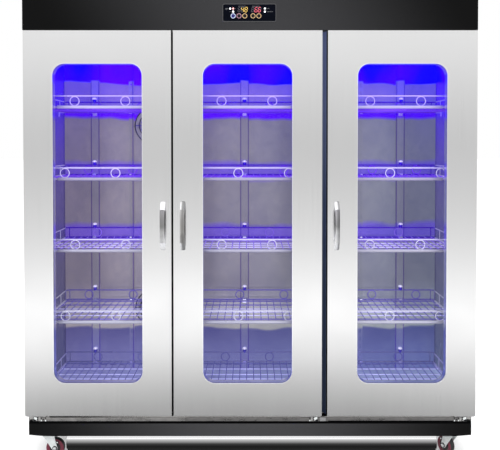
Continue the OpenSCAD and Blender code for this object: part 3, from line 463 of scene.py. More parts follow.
# handle tones by height: the bright band low on the side handles and the darker tones above are painted reflections;
# the ends take a near-white tone with a glow, a painted highlight
GRIP_TONES = [(0.89, (0.82, 0.82, 0.78)), (0.95, (0.235, 0.235, 0.22)), (1.05, (0.34, 0.33, 0.34))]
GRIP_FLAT = [(0.84, (0.28, 0.275, 0.265)), (0.95, (0.23, 0.225, 0.21)), (1.05, (0.29, 0.285, 0.28))]
GRIP_ARGS = dict(metallic=0.70, grain=(500, 500, 8), wave=0.0, ragged=0.006, spec=0.5, cloud=0.14, lines=0.08)
END_TONES = [(0.80, (0.86, 0.87, 0.87)), (1.10, (0.92, 0.92, 0.92))]
END_ARGS = dict(metallic=0.55, grain=(300, 300, 300), wave=0.0, ragged=0.0, spec=0.5, cloud=0.05, lines=0.02)


def split(*stops):
    """The same value up to each place along X, then the next."""
    out = []
    for i, (x, v) in enumerate(stops):
        out.append((x + 0.0004, (v, v, v)))
        if i + 1 < len(stops):
            out.append((stops[i + 1][0] - 0.0004, (v, v, v)))
    return out


# one side of each grip and end is lighter or darker along X: painted light and shade
M["grip_left"] = lit_sheet("grip_left", GRIP_TONES, 0.30, 0.10, across=split((-0.95, 0.5), (-0.3395, 0.85)), **GRIP_ARGS)
M["grip_centre"] = lit_sheet("grip_centre", GRIP_FLAT, 0.30, 0.10, across=split((-0.95, 1.0), (-0.2705, 0.5), (-0.2600, 0.62)), **GRIP_ARGS)
M["grip_right"] = lit_sheet("grip_right", GRIP_TONES, 0.30, 0.10, across=split((-0.95, 1.0), (0.3385, 0.56), (0.3482, 0.30)), **GRIP_ARGS)
M["end_left"] = lit_sheet("end_left", END_TONES, 0.22, 0.22, **END_ARGS)
M["end_centre"] = lit_sheet("end_centre", END_TONES, 0.22, 0.22, across=split((-0.95, 0.5), (-0.2685, 0.14)), **END_ARGS)
M["end_right"] = lit_sheet("end_right", END_TONES, 0.22, 0.22, across=split((-0.95, 0.5), (0.3465, 0.17)), **END_ARGS)
# window lip: bright steel with a faint glow, a painted highlight
M["lip_steel"] = lit_sheet("lip_steel", [(0.2, (0.93, 0.93, 0.94)), (1.6, (0.93, 0.93, 0.94))], 0.12, 0.14, metallic=0.92, grain=(300, 300, 300), wave=0.0, ragged=0.0, spec=0.5, cloud=0.03, lines=0.02)
# fan guards: near-black, violet towards the top, with a faint glow: painted lamp light
M["guard_steel"] = lit_sheet("guard_steel", [(0.2, (0.018, 0.018, 0.035)), (0.7, (0.020, 0.018, 0.040)), (1.6, (0.04, 0.03, 0.10))], 0.30, 0.22, metallic=0.6, grain=(300, 300, 300), wave=0.0, ragged=0.0, spec=0.5, cloud=0.1)
M["zinc"] = brushed("zinc", (0.86, 0.90, 0.90), 0.34, grain=(60, 60, 60), spread=0.07, depth=0.08, tint=(0.84, 0.86, 0.84), metallic=0.45)
M["tray_steel"] = brushed("tray_steel", (0.82, 0.82, 0.83), 0.14, grain=(3, 500, 500), spread=0.03, depth=0.03)
# chromed roll of the tray front: a painted highlight with a glow on top, and painted shade lower down for the shade
# under the cabinet that it mirrors
m = M["tray_steel"]
nt = m.node_tree
b = next(n for n in nt.nodes if n.type == "BSDF_PRINCIPLED")
old = b.inputs["Base Color"].links[0].from_socket
sp = nt.nodes.new("ShaderNodeSeparateXYZ")
tc = nt.nodes.new("ShaderNodeTexCoord")
nt.links.new(tc.outputs["Object"], sp.inputs[0])
roll = ramp(nt, [((h - 0.045) / 0.060, v) for h, v in ((0.046, 0.12), (0.060, 0.03), (0.078, 0.08), (0.090, 0.30), (0.100, 1.0))])
nt.links.new(remap(nt, sp.outputs["Z"], 0.045, 0.105, 0.0, 1.0), roll.inputs["Fac"])
nt.links.new(mix_colour(nt, remap(nt, sp.outputs["Y"], -0.262, -0.256, 1.0, 0.0), old, mix_colour(nt, 1.0, old, roll.outputs["Color"], "MULTIPLY")), b.inputs["Base Color"])
gleam = ramp(nt, [((h - 0.045) / 0.060, v) for h, v in ((0.045, 0.0), (0.076, 0.0), (0.090, 0.28), (0.098, 0.95))])
nt.links.new(remap(nt, sp.outputs["Z"], 0.045, 0.105, 0.0, 1.0), gleam.inputs["Fac"])
nt.links.new(mix_colour(nt, remap(nt, sp.outputs["Y"], -0.262, -0.256, 1.0, 0.0), (0.0, 0.0, 0.0), gleam.outputs["Color"]), b.inputs["Emission Color"])
b.inputs["Emission Strength"].default_value = 0.92
# near-black steel for the drip edge: painted shade under the tray
M["edge_steel"] = brushed("edge_steel", (0.055, 0.055, 0.056), 0.30, grain=(3, 500, 500), spread=0.05)
M["black_trim"] = plastic("black_trim", (0.012, 0.012, 0.014), 0.60, grain=500, spec=0.2)
M["void_black"] = plastic("void_black", (0.0016, 0.0016, 0.0018), 0.75, grain=500, spec=0.02)
M["gasket"] = plastic("gasket", (0.025, 0.025, 0.028), 0.62, grain=500)
# the mullion seal: dark blue, lighter towards the top, with a glow: painted light
M["seal_strip"] = lit_sheet("seal_strip", [(0.25, (0.012, 0.020, 0.044)), (0.65, (0.018, 0.032, 0.064)), (1.05, (0.030, 0.046, 0.095)), (1.45, (0.085, 0.108, 0.20)), (1.68, (0.095, 0.118, 0.22))], 0.42, 0.55,
                              metallic=0.0, grain=(420, 420, 420), wave=0.0, ragged=0.03, spec=0.3, cloud=0.25, lines=0.2)
M["tyre"] = plastic("tyre", (0.016, 0.016, 0.017), 0.55, grain=500)
M["core_red"] = plastic("core_red", (0.155, 0.020, 0.040), 0.32, grain=300)
M["core_web"] = plastic("core_web", (0.72, 0.60, 0.66), 0.36, grain=300)
M["gland"] = plastic("gland", (0.016, 0.016, 0.017), 0.48, grain=600)
M["holder"] = plastic("holder", (0.62, 0.62, 0.64), 0.42)
# black fan housings and rotors, given a lighter grey with a violet tone higher up and a glow: painted lamp light
M["fan_black"] = lit_sheet("fan_black", [(0.2, (0.34, 0.33, 0.35)), (0.9, (0.33, 0.31, 0.36)), (1.6, (0.30, 0.275, 0.36))], 0.45, 0.72, metallic=0.0, grain=(500, 500, 500), wave=0.0, ragged=0.0, spec=0.3, cloud=0.2, lines=0.2)
M["rotor_black"] = lit_sheet("rotor_black", [(0.2, (0.24, 0.23, 0.26)), (1.6, (0.235, 0.215, 0.27))], 0.38, 0.60, metallic=0.0, grain=(400, 400, 400), wave=0.0, ragged=0.0, spec=0.4, cloud=0.2, lines=0.2)
M["board"] = plastic("board", (0.015, 0.11, 0.045), 0.45, grain=900)
M["quartz"] = plastic("quartz", (0.62, 0.42, 0.34), 0.22, grain=80, spread=0.2)

# batts: matted fibre
m, nt, b = new_mat("fibre")
f1 = noise(nt, coords(nt, (1, 1, 3)), 90, 5.0, 0.7, 1.2)
nt.links.new(mix_colour(nt, remap(nt, f1, 0.3, 0.7, 0, 1), (0.50, 0.42, 0.18), (0.78, 0.70, 0.42)), b.inputs["Base Color"])
b.inputs["Roughness"].default_value = 0.95
bump(nt, b, f1, 0.6, 0.004)
M["fibre"] = m

# panes: clear, lightly tinted, with a surface reflection that grows towards grazing angles
m, nt, b = new_mat("pane")
nt.nodes.remove(b)
out = next(n for n in nt.nodes if n.type == "OUTPUT_MATERIAL")
tr = nt.nodes.new("ShaderNodeBsdfTransparent")
gl = nt.nodes.new("ShaderNodeBsdfGlossy")
gl.inputs["Roughness"].default_value = 0.02
sm = noise(nt, coords(nt), 5.0, 3.0, 0.5, 0.5)
nt.links.new(mix_colour(nt, remap(nt, sm, 0.3, 0.7, 0, 1), (0.93, 0.935, 0.965), (0.965, 0.965, 0.985)), tr.inputs["Color"])
fr = nt.nodes.new("ShaderNodeLayerWeight")
fr.inputs["Blend"].default_value = 0.5
share = math_node(nt, "ADD", math_node(nt, "MULTIPLY", math_node(nt, "POWER", fr.outputs["Facing"], 4.0), 0.50), 0.004)
mx = nt.nodes.new("ShaderNodeMixShader")
nt.links.new(share, mx.inputs[0])
nt.links.new(tr.outputs[0], mx.inputs[1])
nt.links.new(gl.outputs[0], mx.inputs[2])
nt.links.new(mx.outputs[0], out.inputs["Surface"])
M["pane"] = m

# control panel: near-black glass with a deep blue tone
m, nt, b = new_mat("panel_glass")
pg = noise(nt, coords(nt), 30, 3.0, 0.5)
nt.links.new(mix_colour(nt, remap(nt, pg, 0.3, 0.7, 0, 1), (0.0010, 0.0016, 0.0040), (0.0018, 0.0026, 0.0062)), b.inputs["Base Color"])
nt.links.new(remap(nt, pg, 0.3, 0.7, 0.10, 0.16), b.inputs["Roughness"])
b.inputs["Specular IOR Level"].default_value = 0.035
M["panel_glass"] = m
M["key_cap"] = plastic("key_cap", (0.010, 0.012, 0.035), 0.25, grain=300, spec=0.3)

M["key_navy"] = glow("key_navy", (0.010, 0.010, 0.16), 0.9, base=(0.004, 0.004, 0.03))
M["key_dark"] = plastic("key_dark", (0.006, 0.005, 0.006), 0.30, grain=300, spec=0.2)
M["ring_ice"] = glow("ring_ice", (0.50, 0.62, 0.95), 0.42, base=(0.5, 0.55, 0.7))
M["ring_rose"] = glow("ring_rose", (0.50, 0.20, 0.30), 0.34, base=(0.36, 0.20, 0.25))
M["ring_gold"] = glow("ring_gold", (0.60, 0.36, 0.14), 0.50, base=(0.46, 0.32, 0.16))
M["led_white"] = glow("led_white", (1.0, 0.98, 1.0), 0.95, base=(0.8, 0.8, 0.82))
M["led_rose"] = glow("led_rose", (1.0, 0.30, 0.30), 0.85, base=(0.8, 0.4, 0.4))
M["digit_amber"] = glow("digit_amber", (0.95, 0.62, 0.14), 0.95, base=(0.3, 0.2, 0.05))
M["digit_red"] = glow("digit_red", (1.0, 0.16, 0.24), 0.95, base=(0.3, 0.05, 0.06))
M["digit_off"] = plastic("digit_off", (0.085, 0.085, 0.10), 0.5, grain=300, spec=0.2)
M["mark_grey"] = plastic("mark_grey", (0.16, 0.16, 0.17), 0.5, grain=300, spec=0.2)
M["rim_grey"] = coat("rim_grey", (0.052, 0.052, 0.055), 0.36, peel=420, depth=0.04, spec=0.2)

M["lamp"] = glow("lamp", (0.085, 0.030, 1.0), 2.6, core=(0.12, 0.06, 1.0))


def paint(node, key):
    o = NODES[node]
    o.data.materials.clear()
    o.data.materials.append(M[key])


def bevel(node, width, segments=2):
    o = NODES[node]
    md = o.modifiers.new("edge", "BEVEL")
    md.width = width
    md.segments = segments
    md.limit_method = "ANGLE"
    md.angle_limit = math.radians(35)
    md.harden_normals = False
    md.use_clamp_overlap = True


FINISH = {
    "left_side_panel": "case_steel", "right_side_panel": "case_steel", "back_panel": "case_steel", "top_panel": "top_steel",
    "inner_liner_panels": "liner_steel", "partition_walls": "liner_steel", "rear_duct_panel": "duct_steel",
    "insulation_batts": "fibre", "face_frame": "frame_steel", "base_frame": "base_steel", "base_pan": "base_steel",
    "tray_runners": "base_steel", "header_fascia": "header_black", "lower_front_rail": "rail_steel",
    "plinth_fascia": "plinth_black", "mullion_seal": "seal_strip", "control_panel_glass": "panel_glass",
    "control_board": "board", "uv_lamps": "lamp", "lamp_holders": "holder", "heater_tubes": "quartz",
    "fan_housings": "fan_black", "fan_guards": "guard_steel", "fan_rotor_upper": "rotor_black", "fan_rotor_lower": "rotor_black",
    "shelf_uprights": "upright_steel", "shelf_clips": "clip_steel", "hinge_plates": "hinge_steel",
    "caster_plates": "zinc", "drip_tray": "tray_steel", "cable_gland": "gland",
}
for i in range(1, 6):
    FINISH[f"key_button_{i}"] = "key_cap"
for k in ("left", "centre", "right"):
    FINISH[f"shelf_baskets_{k}"] = "wire_steel"
    FINISH[f"door_shell_{k}"] = "door_steel"
    FINISH[f"door_glass_{k}"] = "pane"
    FINISH[f"door_gasket_{k}"] = "gasket"
    FINISH[f"door_handle_{k}"] = f"grip_{k}"
for k in ("front_left", "front_right", "rear_left", "rear_right"):
    FINISH[f"caster_fork_{k}"] = "zinc"
    FINISH[f"caster_wheel_{k}"] = "core_red"
for n in NODES:
    paint(n, FINISH[n])


# ------------------------------------------------------------------ mesh building

class Solid:
    """Collects faces, each with a material index, and turns them into one object."""

    def __init__(self):
        self.v, self.f, self.m, self.s = [], [], [], []

    def add(self, verts, faces, mat=0, smooth=True):
        k = len(self.v)
        self.v += [tuple(p) for p in verts]
        self.f += [tuple(k + i for i in f) for f in faces]
        self.m += [mat] * len(faces)
        self.s += [smooth] * len(faces)

    def rings(self, loops, mat=0, closed=False, caps=True, smooth=True):
        """Joins loops of equal length, one after the other."""
        n = len(loops[0])
        verts = [p for loop in loops for p in loop]
        faces = []
        last = len(loops) if closed else len(loops) - 1
        for i in range(last):
            a, b2 = i * n, ((i + 1) % len(loops)) * n
            for j in range(n):
                j2 = (j + 1) % n
                faces.append((a + j, a + j2, b2 + j2, b2 + j))
        if caps and not closed:
            faces.append(tuple(range(n - 1, -1, -1)))
            faces.append(tuple((len(loops) - 1) * n + j for j in range(n)))
        self.add(verts, faces, mat, smooth)

    def tube(self, pts, r, n=8, mat=0, closed=False, round_ends=False):
        pts = [Vector(p) for p in pts]
        k = len(pts)
        tans = []
        for i in range(k):
            if closed:
                t = pts[(i + 1) % k] - pts[i - 1]
            else:
                t = pts[min(i + 1, k - 1)] - pts[max(i - 1, 0)]
            tans.append(t.normalized())
        up = Vector((0, 0, 1)) if abs(tans[0].z) < 0.9 else Vector((0, 1, 0))
        u = tans[0].cross(up).normalized()
        frames = []
        for i in range(k):
            t = tans[i]
            u = (u - t * u.dot(t)).normalized()
            frames.append((u.copy(), t.cross(u).normalized()))
        loops = []

        def ring(c, fr, rad):
            return [c + (fr[0] * math.cos(2 * math.pi * j / n) + fr[1] * math.sin(2 * math.pi * j / n)) * rad for j in range(n)]

        if round_ends and not closed:
            for a in (80, 50, 22):
                loops.append(ring(pts[0] - tans[0] * r * math.sin(math.radians(a)), frames[0], r * math.cos(math.radians(a))))
        for i in range(k):
            loops.append(ring(pts[i], frames[i], r))
        if round_ends and not closed:
            for a in (22, 50, 80):
                loops.append(ring(pts[-1] + tans[-1] * r * math.sin(math.radians(a)), frames[-1], r * math.cos(math.radians(a))))
        self.rings(loops, mat, closed=closed)

    def lathe(self, profile, centre, axis="z", n=24, mat=0, turn=None, smooth=True, flip=False):
        """Turns a profile of (radius, distance along the axis) round an axis through centre."""
        c = Vector(centre)
        loops = []
        for r, h in profile:
            loop = []
            for j in range(n):
                a = 2 * math.pi * j / n
                p = Vector((r * math.cos(a), r * math.sin(a), h))
                if axis == "y":
                    p = Vector((p.x, p.z, -p.y))
                elif axis == "-y":
                    p = Vector((p.x, -p.z, p.y))
                elif axis == "x":
                    p = Vector((p.z, p.y, -p.x))
                elif axis == "-x":
                    p = Vector((-p.z, p.y, p.x))
                if turn is not None:
                    p = turn @ p
                loop.append(c + p)
            loops.append(loop)
        self.rings(loops, mat, smooth=smooth)

    def torus(self, centre, big, small, axis="y", n=24, m=8, mat=0, turn=None):
        c = Vector(centre)
        loops = []
        for i in range(n):
            a = 2 * math.pi * i / n
            loop = []
            for j in range(m):
                t = 2 * math.pi * j / m
                r = big + small * math.cos(t)
                h = small * math.sin(t)
                p = Vector((r * math.cos(a), h, r * math.sin(a))) if axis == "y" else Vector((r * math.cos(a), r * math.sin(a), h))
                if axis == "x":
                    p = Vector((h, r * math.cos(a), r * math.sin(a)))
                if turn is not None:
                    p = turn @ p
                loop.append(c + p)
            loops.append(loop)
        self.rings(loops, mat, closed=True)

    def box(self, lo, hi, mat=0, chamfer=0.0):
        """A block with chamfered edges."""
        x0, y0, z0 = lo
        x1, y1, z1 = hi
        c = chamfer
        if c <= 0:
            v = [(x, y, z) for z in (z0, z1) for y in (y0, y1) for x in (x0, x1)]
            f = [(0, 2, 3, 1), (4, 5, 7, 6), (0, 1, 5, 4), (2, 6, 7, 3), (0, 4, 6, 2), (1, 3, 7, 5)]
            self.add(v, f, mat, False)
            return

        def outline(inset, z):
            q = c if inset == 0 else 0.0
            a0, a1, b0, b1 = x0 + inset, x1 - inset, y0 + inset, y1 - inset
            e = c if inset == 0 else c * 0.6
            return [(a0 + e, b0, z), (a1 - e, b0, z), (a1, b0 + e, z), (a1, b1 - e, z), (a1 - e, b1, z), (a0 + e, b1, z), (a0, b1 - e, z), (a0, b0 + e, z)]

        self.rings([outline(c, z0), outline(0, z0 + c), outline(0, z1 - c), outline(c, z1)], mat, smooth=False)

    def prism(self, outline, y0, y1, mat=0, smooth=False):
        """An outline in X and Z given a thickness along Y; the outline runs counter-clockwise seen from -Y."""
        self.rings([[(x, y0, z) for x, z in outline], [(x, y1, z) for x, z in outline]], mat, smooth=smooth)

    def make(self, name, mats, body, replaces=(), weld=False):
        me = bpy.data.meshes.new(name)
        me.from_pydata(self.v, [], self.f)
        for x in mats:
            me.materials.append(M[x])
        me.polygons.foreach_set("material_index", self.m)
        me.polygons.foreach_set("use_smooth", self.s)
        me.update()
        import bmesh
        bm = bmesh.new()
        bm.from_mesh(me)
        bmesh.ops.recalc_face_normals(bm, faces=bm.faces)
        bm.to_mesh(me)
        bm.free()
        o = bpy.data.objects.new(name, me)
        scene.collection.objects.link(o)
        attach(o, body)
        if replaces:
            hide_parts(*replaces)
        return o


def rounded(x0, x1, z0, z1, r, n=8):
    pts = []
    for cx, cz, a0 in ((x1 - r, z1 - r, 0), (x0 + r, z1 - r, 90), (x0 + r, z0 + r, 180), (x1 - r, z0 + r, 270)):
        for i in range(n + 1):
            a = math.radians(a0 + 90 * i / n)
            pts.append((cx + r * math.cos(a), cz + r * math.sin(a)))
    return pts


# ------------------------------------------------------------------ floor

fl = Solid()
R = 60.0
fl.add([(-R, -R, 0), (R, -R, 0), (R, R, 0), (-R, R, 0)], [(0, 1, 2, 3)], 0, False)
m, nt, b = new_mat("floor_pale")
fn = noise(nt, coords(nt), 1.5, 2.0, 0.5)
nt.links.new(mix_colour(nt, remap(nt, fn, 0.3, 0.7, 0, 1), (0.905, 0.905, 0.905), (0.93, 0.93, 0.93)), b.inputs["Base Color"])
b.inputs["Roughness"].default_value = 0.9
b.inputs["Specular IOR Level"].default_value = 0.1
b.inputs["Emission Color"].default_value = (1.0, 1.0, 1.0, 1.0)
b.inputs["Emission Strength"].default_value = 0.24
M["floor_pale"] = m
me = bpy.data.meshes.new("floor")
me.from_pydata(fl.v, [], fl.f)
me.materials.append(m)
floor = bpy.data.objects.new("floor", me)
scene.collection.objects.link(floor)
floor.visible_glossy = False
floor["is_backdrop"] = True

# ------------------------------------------------------------------ planes and places, in metres

Y_DOOR, Y_HEAD, Y_DUCT = -0.280, -0.282, 0.225
DOOR_X = {"left": (-0.899, -0.313), "centre": (-0.306, 0.286), "right": (0.308, 0.900)}
BASKET_X = {"left": (-0.861, -0.342), "centre": (-0.277, 0.247), "right": (0.337, 0.861)}
RING_MID = {"left": (-0.609, -0.650), "centre": (-0.013, 0.055), "right": (0.590, 0.672)}
POST_X = (-0.725, -0.026, 0.703)
STANDARD_X = (-0.556, 0.518)
LEVELS = [1.421 - 0.292 * i for i in range(5)]
BY0, BY1 = -0.213, 0.198
RIM = 0.045

# ------------------------------------------------------------------ wire baskets


def corner(cx, cy, r, a0, a1, n):
    return [(cx + r * math.cos(math.radians(a0 + (a1 - a0) * i / n)), cy + r * math.sin(math.radians(a0 + (a1 - a0) * i / n))) for i in range(n + 1)]


def basket_loop(x0, x1, rf=0.078, rb=0.014):
    """The outline that the frame wires follow: wide curves at the front, tight ones at the back."""
    return (corner(x0 + rf, BY0 + rf, rf, 180, 270, 8) + corner(x1 - rf, BY0 + rf, rf, 270, 360, 8)
            + corner(x1 - rb, BY1 - rb, rb, 0, 90, 4) + corner(x0 + rb, BY1 - rb, rb, 90, 180, 4))


def basket_front(x, x0, x1, rf=0.078):
    if x < x0 + rf:
        d = x0 + rf - x
    elif x > x1 - rf:
        d = x - (x1 - rf)
    else:
        return BY0
    return BY0 + rf - math.sqrt(max(0.0, rf * rf - d * d))


for key, (bx0, bx1) in BASKET_X.items():
    s = Solid()
    x0, x1 = bx0 + 0.0042, bx1 - 0.0042
    for lv, z in enumerate(LEVELS):
        loop = basket_loop(x0, x1)
        s.tube([(x, y, z) for x, y in loop], 0.0040, 10, closed=True)
        s.tube([(x, y, z + RIM) for x, y in loop], 0.0028, 8, closed=True)
        # thick front rail with domed ends
        s.tube([(x0 + 0.078, BY0, z), ((x0 + x1) / 2, BY0, z), (x1 - 0.078, BY0, z)], 0.0068, 14, 3, round_ends=True)
        # cross rods under the deck: the middle ones, and one more on the lowest shelf, take the lighter rod tones as
        # painted light, the rest the darker deck tones as painted shade
        for y in (-0.150, -0.089, -0.030, 0.028, 0.104, 0.180):
            light = y in (-0.089, -0.030, 0.028) or (lv == 4 and y == 0.104)
            s.tube([(x0 + 0.001, y, z - 0.0042), (x1 - 0.001, y, z - 0.0042)], 0.0024, 8, 2 if light else 1)
        # deck wires, bent up a little at the front
        n = int((x1 - x0 - 0.020) / 0.0305)
        w0 = (x0 + x1) / 2 - n * 0.0305 / 2
        for i in range(n + 1):
            x = w0 + i * 0.0305
            yf = basket_front(x, x0, x1)
            s.tube([(x, yf, z + 0.0035), (x, yf + 0.012, z + 0.0006), (x, (BY0 + BY1) / 2, z + 0.0002), (x, BY1 - 0.010, z + 0.0006), (x, BY1, z + 0.0030)], 0.0019, 6, 1)
        # rings in the front and rear rails
        mid_x = RING_MID[key][lv % 2]
        zr0, zr1 = z + 0.0035, z + RIM - 0.002
        rr = (zr1 - zr0) / 2
        for c in (mid_x - 0.103, mid_x + 0.103):
            s.torus((c, BY0, (zr0 + zr1) / 2 + 0.0008), rr - 0.0013, 0.0019, "y", 30, 8)
            s.torus((c, BY1, (zr0 + zr1) / 2), rr - 0.0008, 0.0020, "y", 28, 7, 1)
        # upright links at the sides and the rear corners
        for sx in (x0, x1):
            for y in (-0.110, -0.007, 0.096, 0.180):
                s.tube([(sx, y, z), (sx, y, z + RIM)], 0.0020, 7)
        for sx in (x0 + 0.014, x1 - 0.014):
            s.tube([(sx, BY1, z), (sx, BY1, z + RIM)], 0.0020, 7)
    s.make(f"wire_baskets_{key}", ["wire_bright", "wire_deck", "wire_rod", "wire_rail"], "cabinet", (f"shelf_baskets_{key}",))

# ------------------------------------------------------------------ fan guards: round wires, spokes and fixing eyes

s = Solid()
for fx, fz in ((-0.453, 1.358), (-0.453, 0.500)):
    for r in (0.0255, 0.0455, 0.0655, 0.0855):
        s.torus((fx, Y_DUCT - 0.0036, fz), r, 0.0024, "y", 72, 10, 0)
    for q in range(3):
        a = math.radians(60 * q)
        ca, sa = math.cos(a), math.sin(a)
        s.tube([(fx - ca * 0.0865, Y_DUCT - 0.0016, fz - sa * 0.0865), (fx, Y_DUCT - 0.0016, fz), (fx + ca * 0.0865, Y_DUCT - 0.0016, fz + sa * 0.0865)], 0.0016, 10, 1, round_ends=True)
        for e in (-1, 1):
            s.torus((fx + e * ca * 0.0905, Y_DUCT - 0.0016, fz + e * sa * 0.0905), 0.0038, 0.0013, "y", 20, 8, 0)
s.make("fan_guard_wires", ["guard_steel", "wire_bright"], "cabinet", ("fan_guards",))

# ------------------------------------------------------------------ shelf rests and knobs

s = Solid()
for z in LEVELS:
    for x in POST_X:
        # a tongue from the post that the rear frame wire lies on, with a turned-up tip
        s.box((x - 0.008, 0.190, z - 0.0085), (x + 0.008, Y_DUCT - 0.0122, z - 0.0048), 0, 0.0008)
        s.box((x - 0.008, 0.1885, z - 0.0085), (x + 0.008, 0.1912, z + 0.004), 0, 0.0008)
        s.box((x - 0.010, Y_DUCT - 0.0142, z - 0.018), (x + 0.010, Y_DUCT - 0.0120, z + 0.006), 0, 0.0006)
        # keeper over the rim wire: a body on the wire with a domed cap; the cap's bright tone is a painted highlight
        # and the body's dark violet is painted shade
        s.lathe([(0.0004, -0.004), (0.0070, -0.0036), (0.0082, -0.002), (0.0084, 0.006), (0.0074, 0.0118), (0.0050, 0.0124), (0.0004, 0.0124)], (x, 0.2020, z + RIM + 0.0012), "z", 24, 2)
        s.lathe([(0.0004, 0.0120), (0.0088, 0.0120), (0.0098, 0.0134), (0.0096, 0.0160), (0.0078, 0.0188), (0.0046, 0.0206), (0.0004, 0.0212)], (x, 0.2020, z + RIM + 0.0012), "z", 24, 1)
        s.lathe([(0.0035, 0.0), (0.0035, 0.010)], (x, 0.2030, z + RIM + 0.004), "y", 12)
    for x in STANDARD_X:
        s.box((x - 0.005, 0.190, z - 0.0085), (x + 0.005, Y_DUCT - 0.0102, z - 0.0048), 0, 0.0006)
        s.box((x - 0.005, 0.1885, z - 0.0085), (x + 0.005, 0.1908, z + 0.004), 0, 0.0006)
    for (bx0, bx1), (w0, w1) in zip(BASKET_X.values(), ((-0.870, -0.337), (-0.282, 0.252), (0.332, 0.870))):
        for inner, wall, sg in ((bx0, w0, 1), (bx1, w1, -1)):
            for y in (-0.165, 0.120):
                lo, hi = sorted((wall + sg * 0.0002, inner + sg * 0.012))
                s.box((lo, y, z - 0.0085), (hi, y + 0.022, z - 0.0048), 0, 0.0006)
                lo, hi = sorted((wall + sg * 0.0002, wall + sg * 0.0020))
                s.box((lo, y, z - 0.024), (hi, y + 0.022, z - 0.005), 0, 0.0006)
s.make("shelf_rests_and_keepers", ["clip_steel", "clip_cap", "clip_body"], "cabinet", ("shelf_clips",))

# ------------------------------------------------------------------ door handles and window beads

GRIP_X = {"left": -0.346, "centre": -0.267, "right": 0.344}
GRIP_Z, GRIP_H, GRIP_D, GRIP_W = 0.9465, 0.0975, 0.040, 0.0102


def handle(key):
    s = Solid()
    n, m = 44, 20
    loops, kinds = [], []
    for k in range(n + 1):
        t = -1 + 2 * k / n
        po = Vector((0, Y_DOOR - GRIP_D * (1 - abs(t) ** 3), GRIP_Z + t * GRIP_H))
        pi = Vector((0, Y_DOOR - (GRIP_D - 0.009) * (1 - abs(t) ** 3), GRIP_Z + t * (GRIP_H - 0.015)))
        c, h = (po + pi) / 2, (po - pi) / 2
        w = GRIP_W * (0.84 + 0.16 * abs(t) ** 1.5)
        loop = []
        for j in range(m):
            a = 2 * math.pi * j / m
            ca, sa = math.cos(a), math.sin(a)
            e = 0.62
            u = math.copysign(abs(ca) ** e, ca) * w
            v = math.copysign(abs(sa) ** e, sa)
            p = c + h * v
            loop.append((GRIP_X[key] + u, p.y, p.z))
        loops.append(loop)
    k = len(loops[0])
    verts = [p for loop in loops for p in loop]
    for i in range(n):
        t = abs(-1 + 2 * (i + 0.5) / n)
        mat = 1 if t > 0.70 else 0
        faces = [(i * k + j, i * k + (j + 1) % k, (i + 1) * k + (j + 1) % k, (i + 1) * k + j) for j in range(k)]
        base = len(s.v)
        if i == 0:
            s.v += [tuple(p) for p in verts]
        s.f += faces
        s.m += [mat] * len(faces)
        s.s += [True] * len(faces)
    s.f += [tuple(range(k - 1, -1, -1)), tuple(n * k + j for j in range(k))]
    s.m += [1, 1]
    s.s += [False, False]
    return s.make(f"bow_handle_{key}", [f"grip_{key}", f"end_{key}"], f"door_{key}", (f"door_handle_{key}",))


for key in GRIP_X:
    handle(key)

WIN_Z = ((0.185 + 1.720) / 2 - 0.6365, (0.185 + 1.720) / 2 + 0.6365)


def bead(key):
    """A narrow rolled lip round the window, on the folded edge of the door skin."""
    s = Solid()
    mid = sum(DOOR_X[key]) / 2
    x0, x1 = mid - 0.1775, mid + 0.1775
    z0, z1 = WIN_Z
    section = [(0.0022, 0.0), (0.0021, -0.0004), (0.0014, -0.0009), (0.0004, -0.0010), (-0.0003, -0.0006), (-0.0005, 0.0002), (-0.0005, 0.0058), (-0.0001, 0.0058), (-0.0001, 0.0)]
    loops = []
    n = 12
    for u, dy in section:
        r = 0.048 + u
        loops.append([(x, Y_DOOR + dy, z) for x, z in rounded(x0 - u, x1 + u, z0 - u, z1 + u, r, n)])
    k = len(loops[0])
    per_point = [[loops[i][j] for i in range(len(section))] for j in range(k)]
    s.rings(per_point, 0, closed=True)
    return s.make(f"window_lip_{key}", ["lip_steel"], f"door_{key}")


for key in DOOR_X:
    bead(key)
    bevel(f"door_shell_{key}", 0.0010, 2)

for n in ("header_fascia", "plinth_fascia", "lower_front_rail"):
    bevel(n, 0.0005, 2)
for n in ("left_side_panel", "right_side_panel", "back_panel", "top_panel"):
    bevel(n, 0.0005, 1)
for k in ("front_left", "front_right", "rear_left", "rear_right"):
    bevel(f"caster_fork_{k}", 0.0006, 2)

# blind rivets along the edges of the back skin
s = Solid()
Y_BACK = 0.304
spots = [(x, z) for z in (0.125, 1.838) for x in [-0.86 + 0.215 * i for i in range(9)]] + [(x, z) for x in (-0.886, 0.886) for z in [0.30 + 0.2525 * i for i in range(6)]]
for x, z in spots:
    s.lathe([(0.0042, 0.0), (0.0042, 0.0005), (0.0036, 0.0013), (0.0022, 0.0017), (0.0013, 0.0017), (0.0010, 0.0009), (0.0002, 0.0009)], (x, Y_BACK, z), "y", 16, 0)
s.make("back_rivets", ["hinge_steel"], "cabinet")

# ------------------------------------------------------------------ wheels

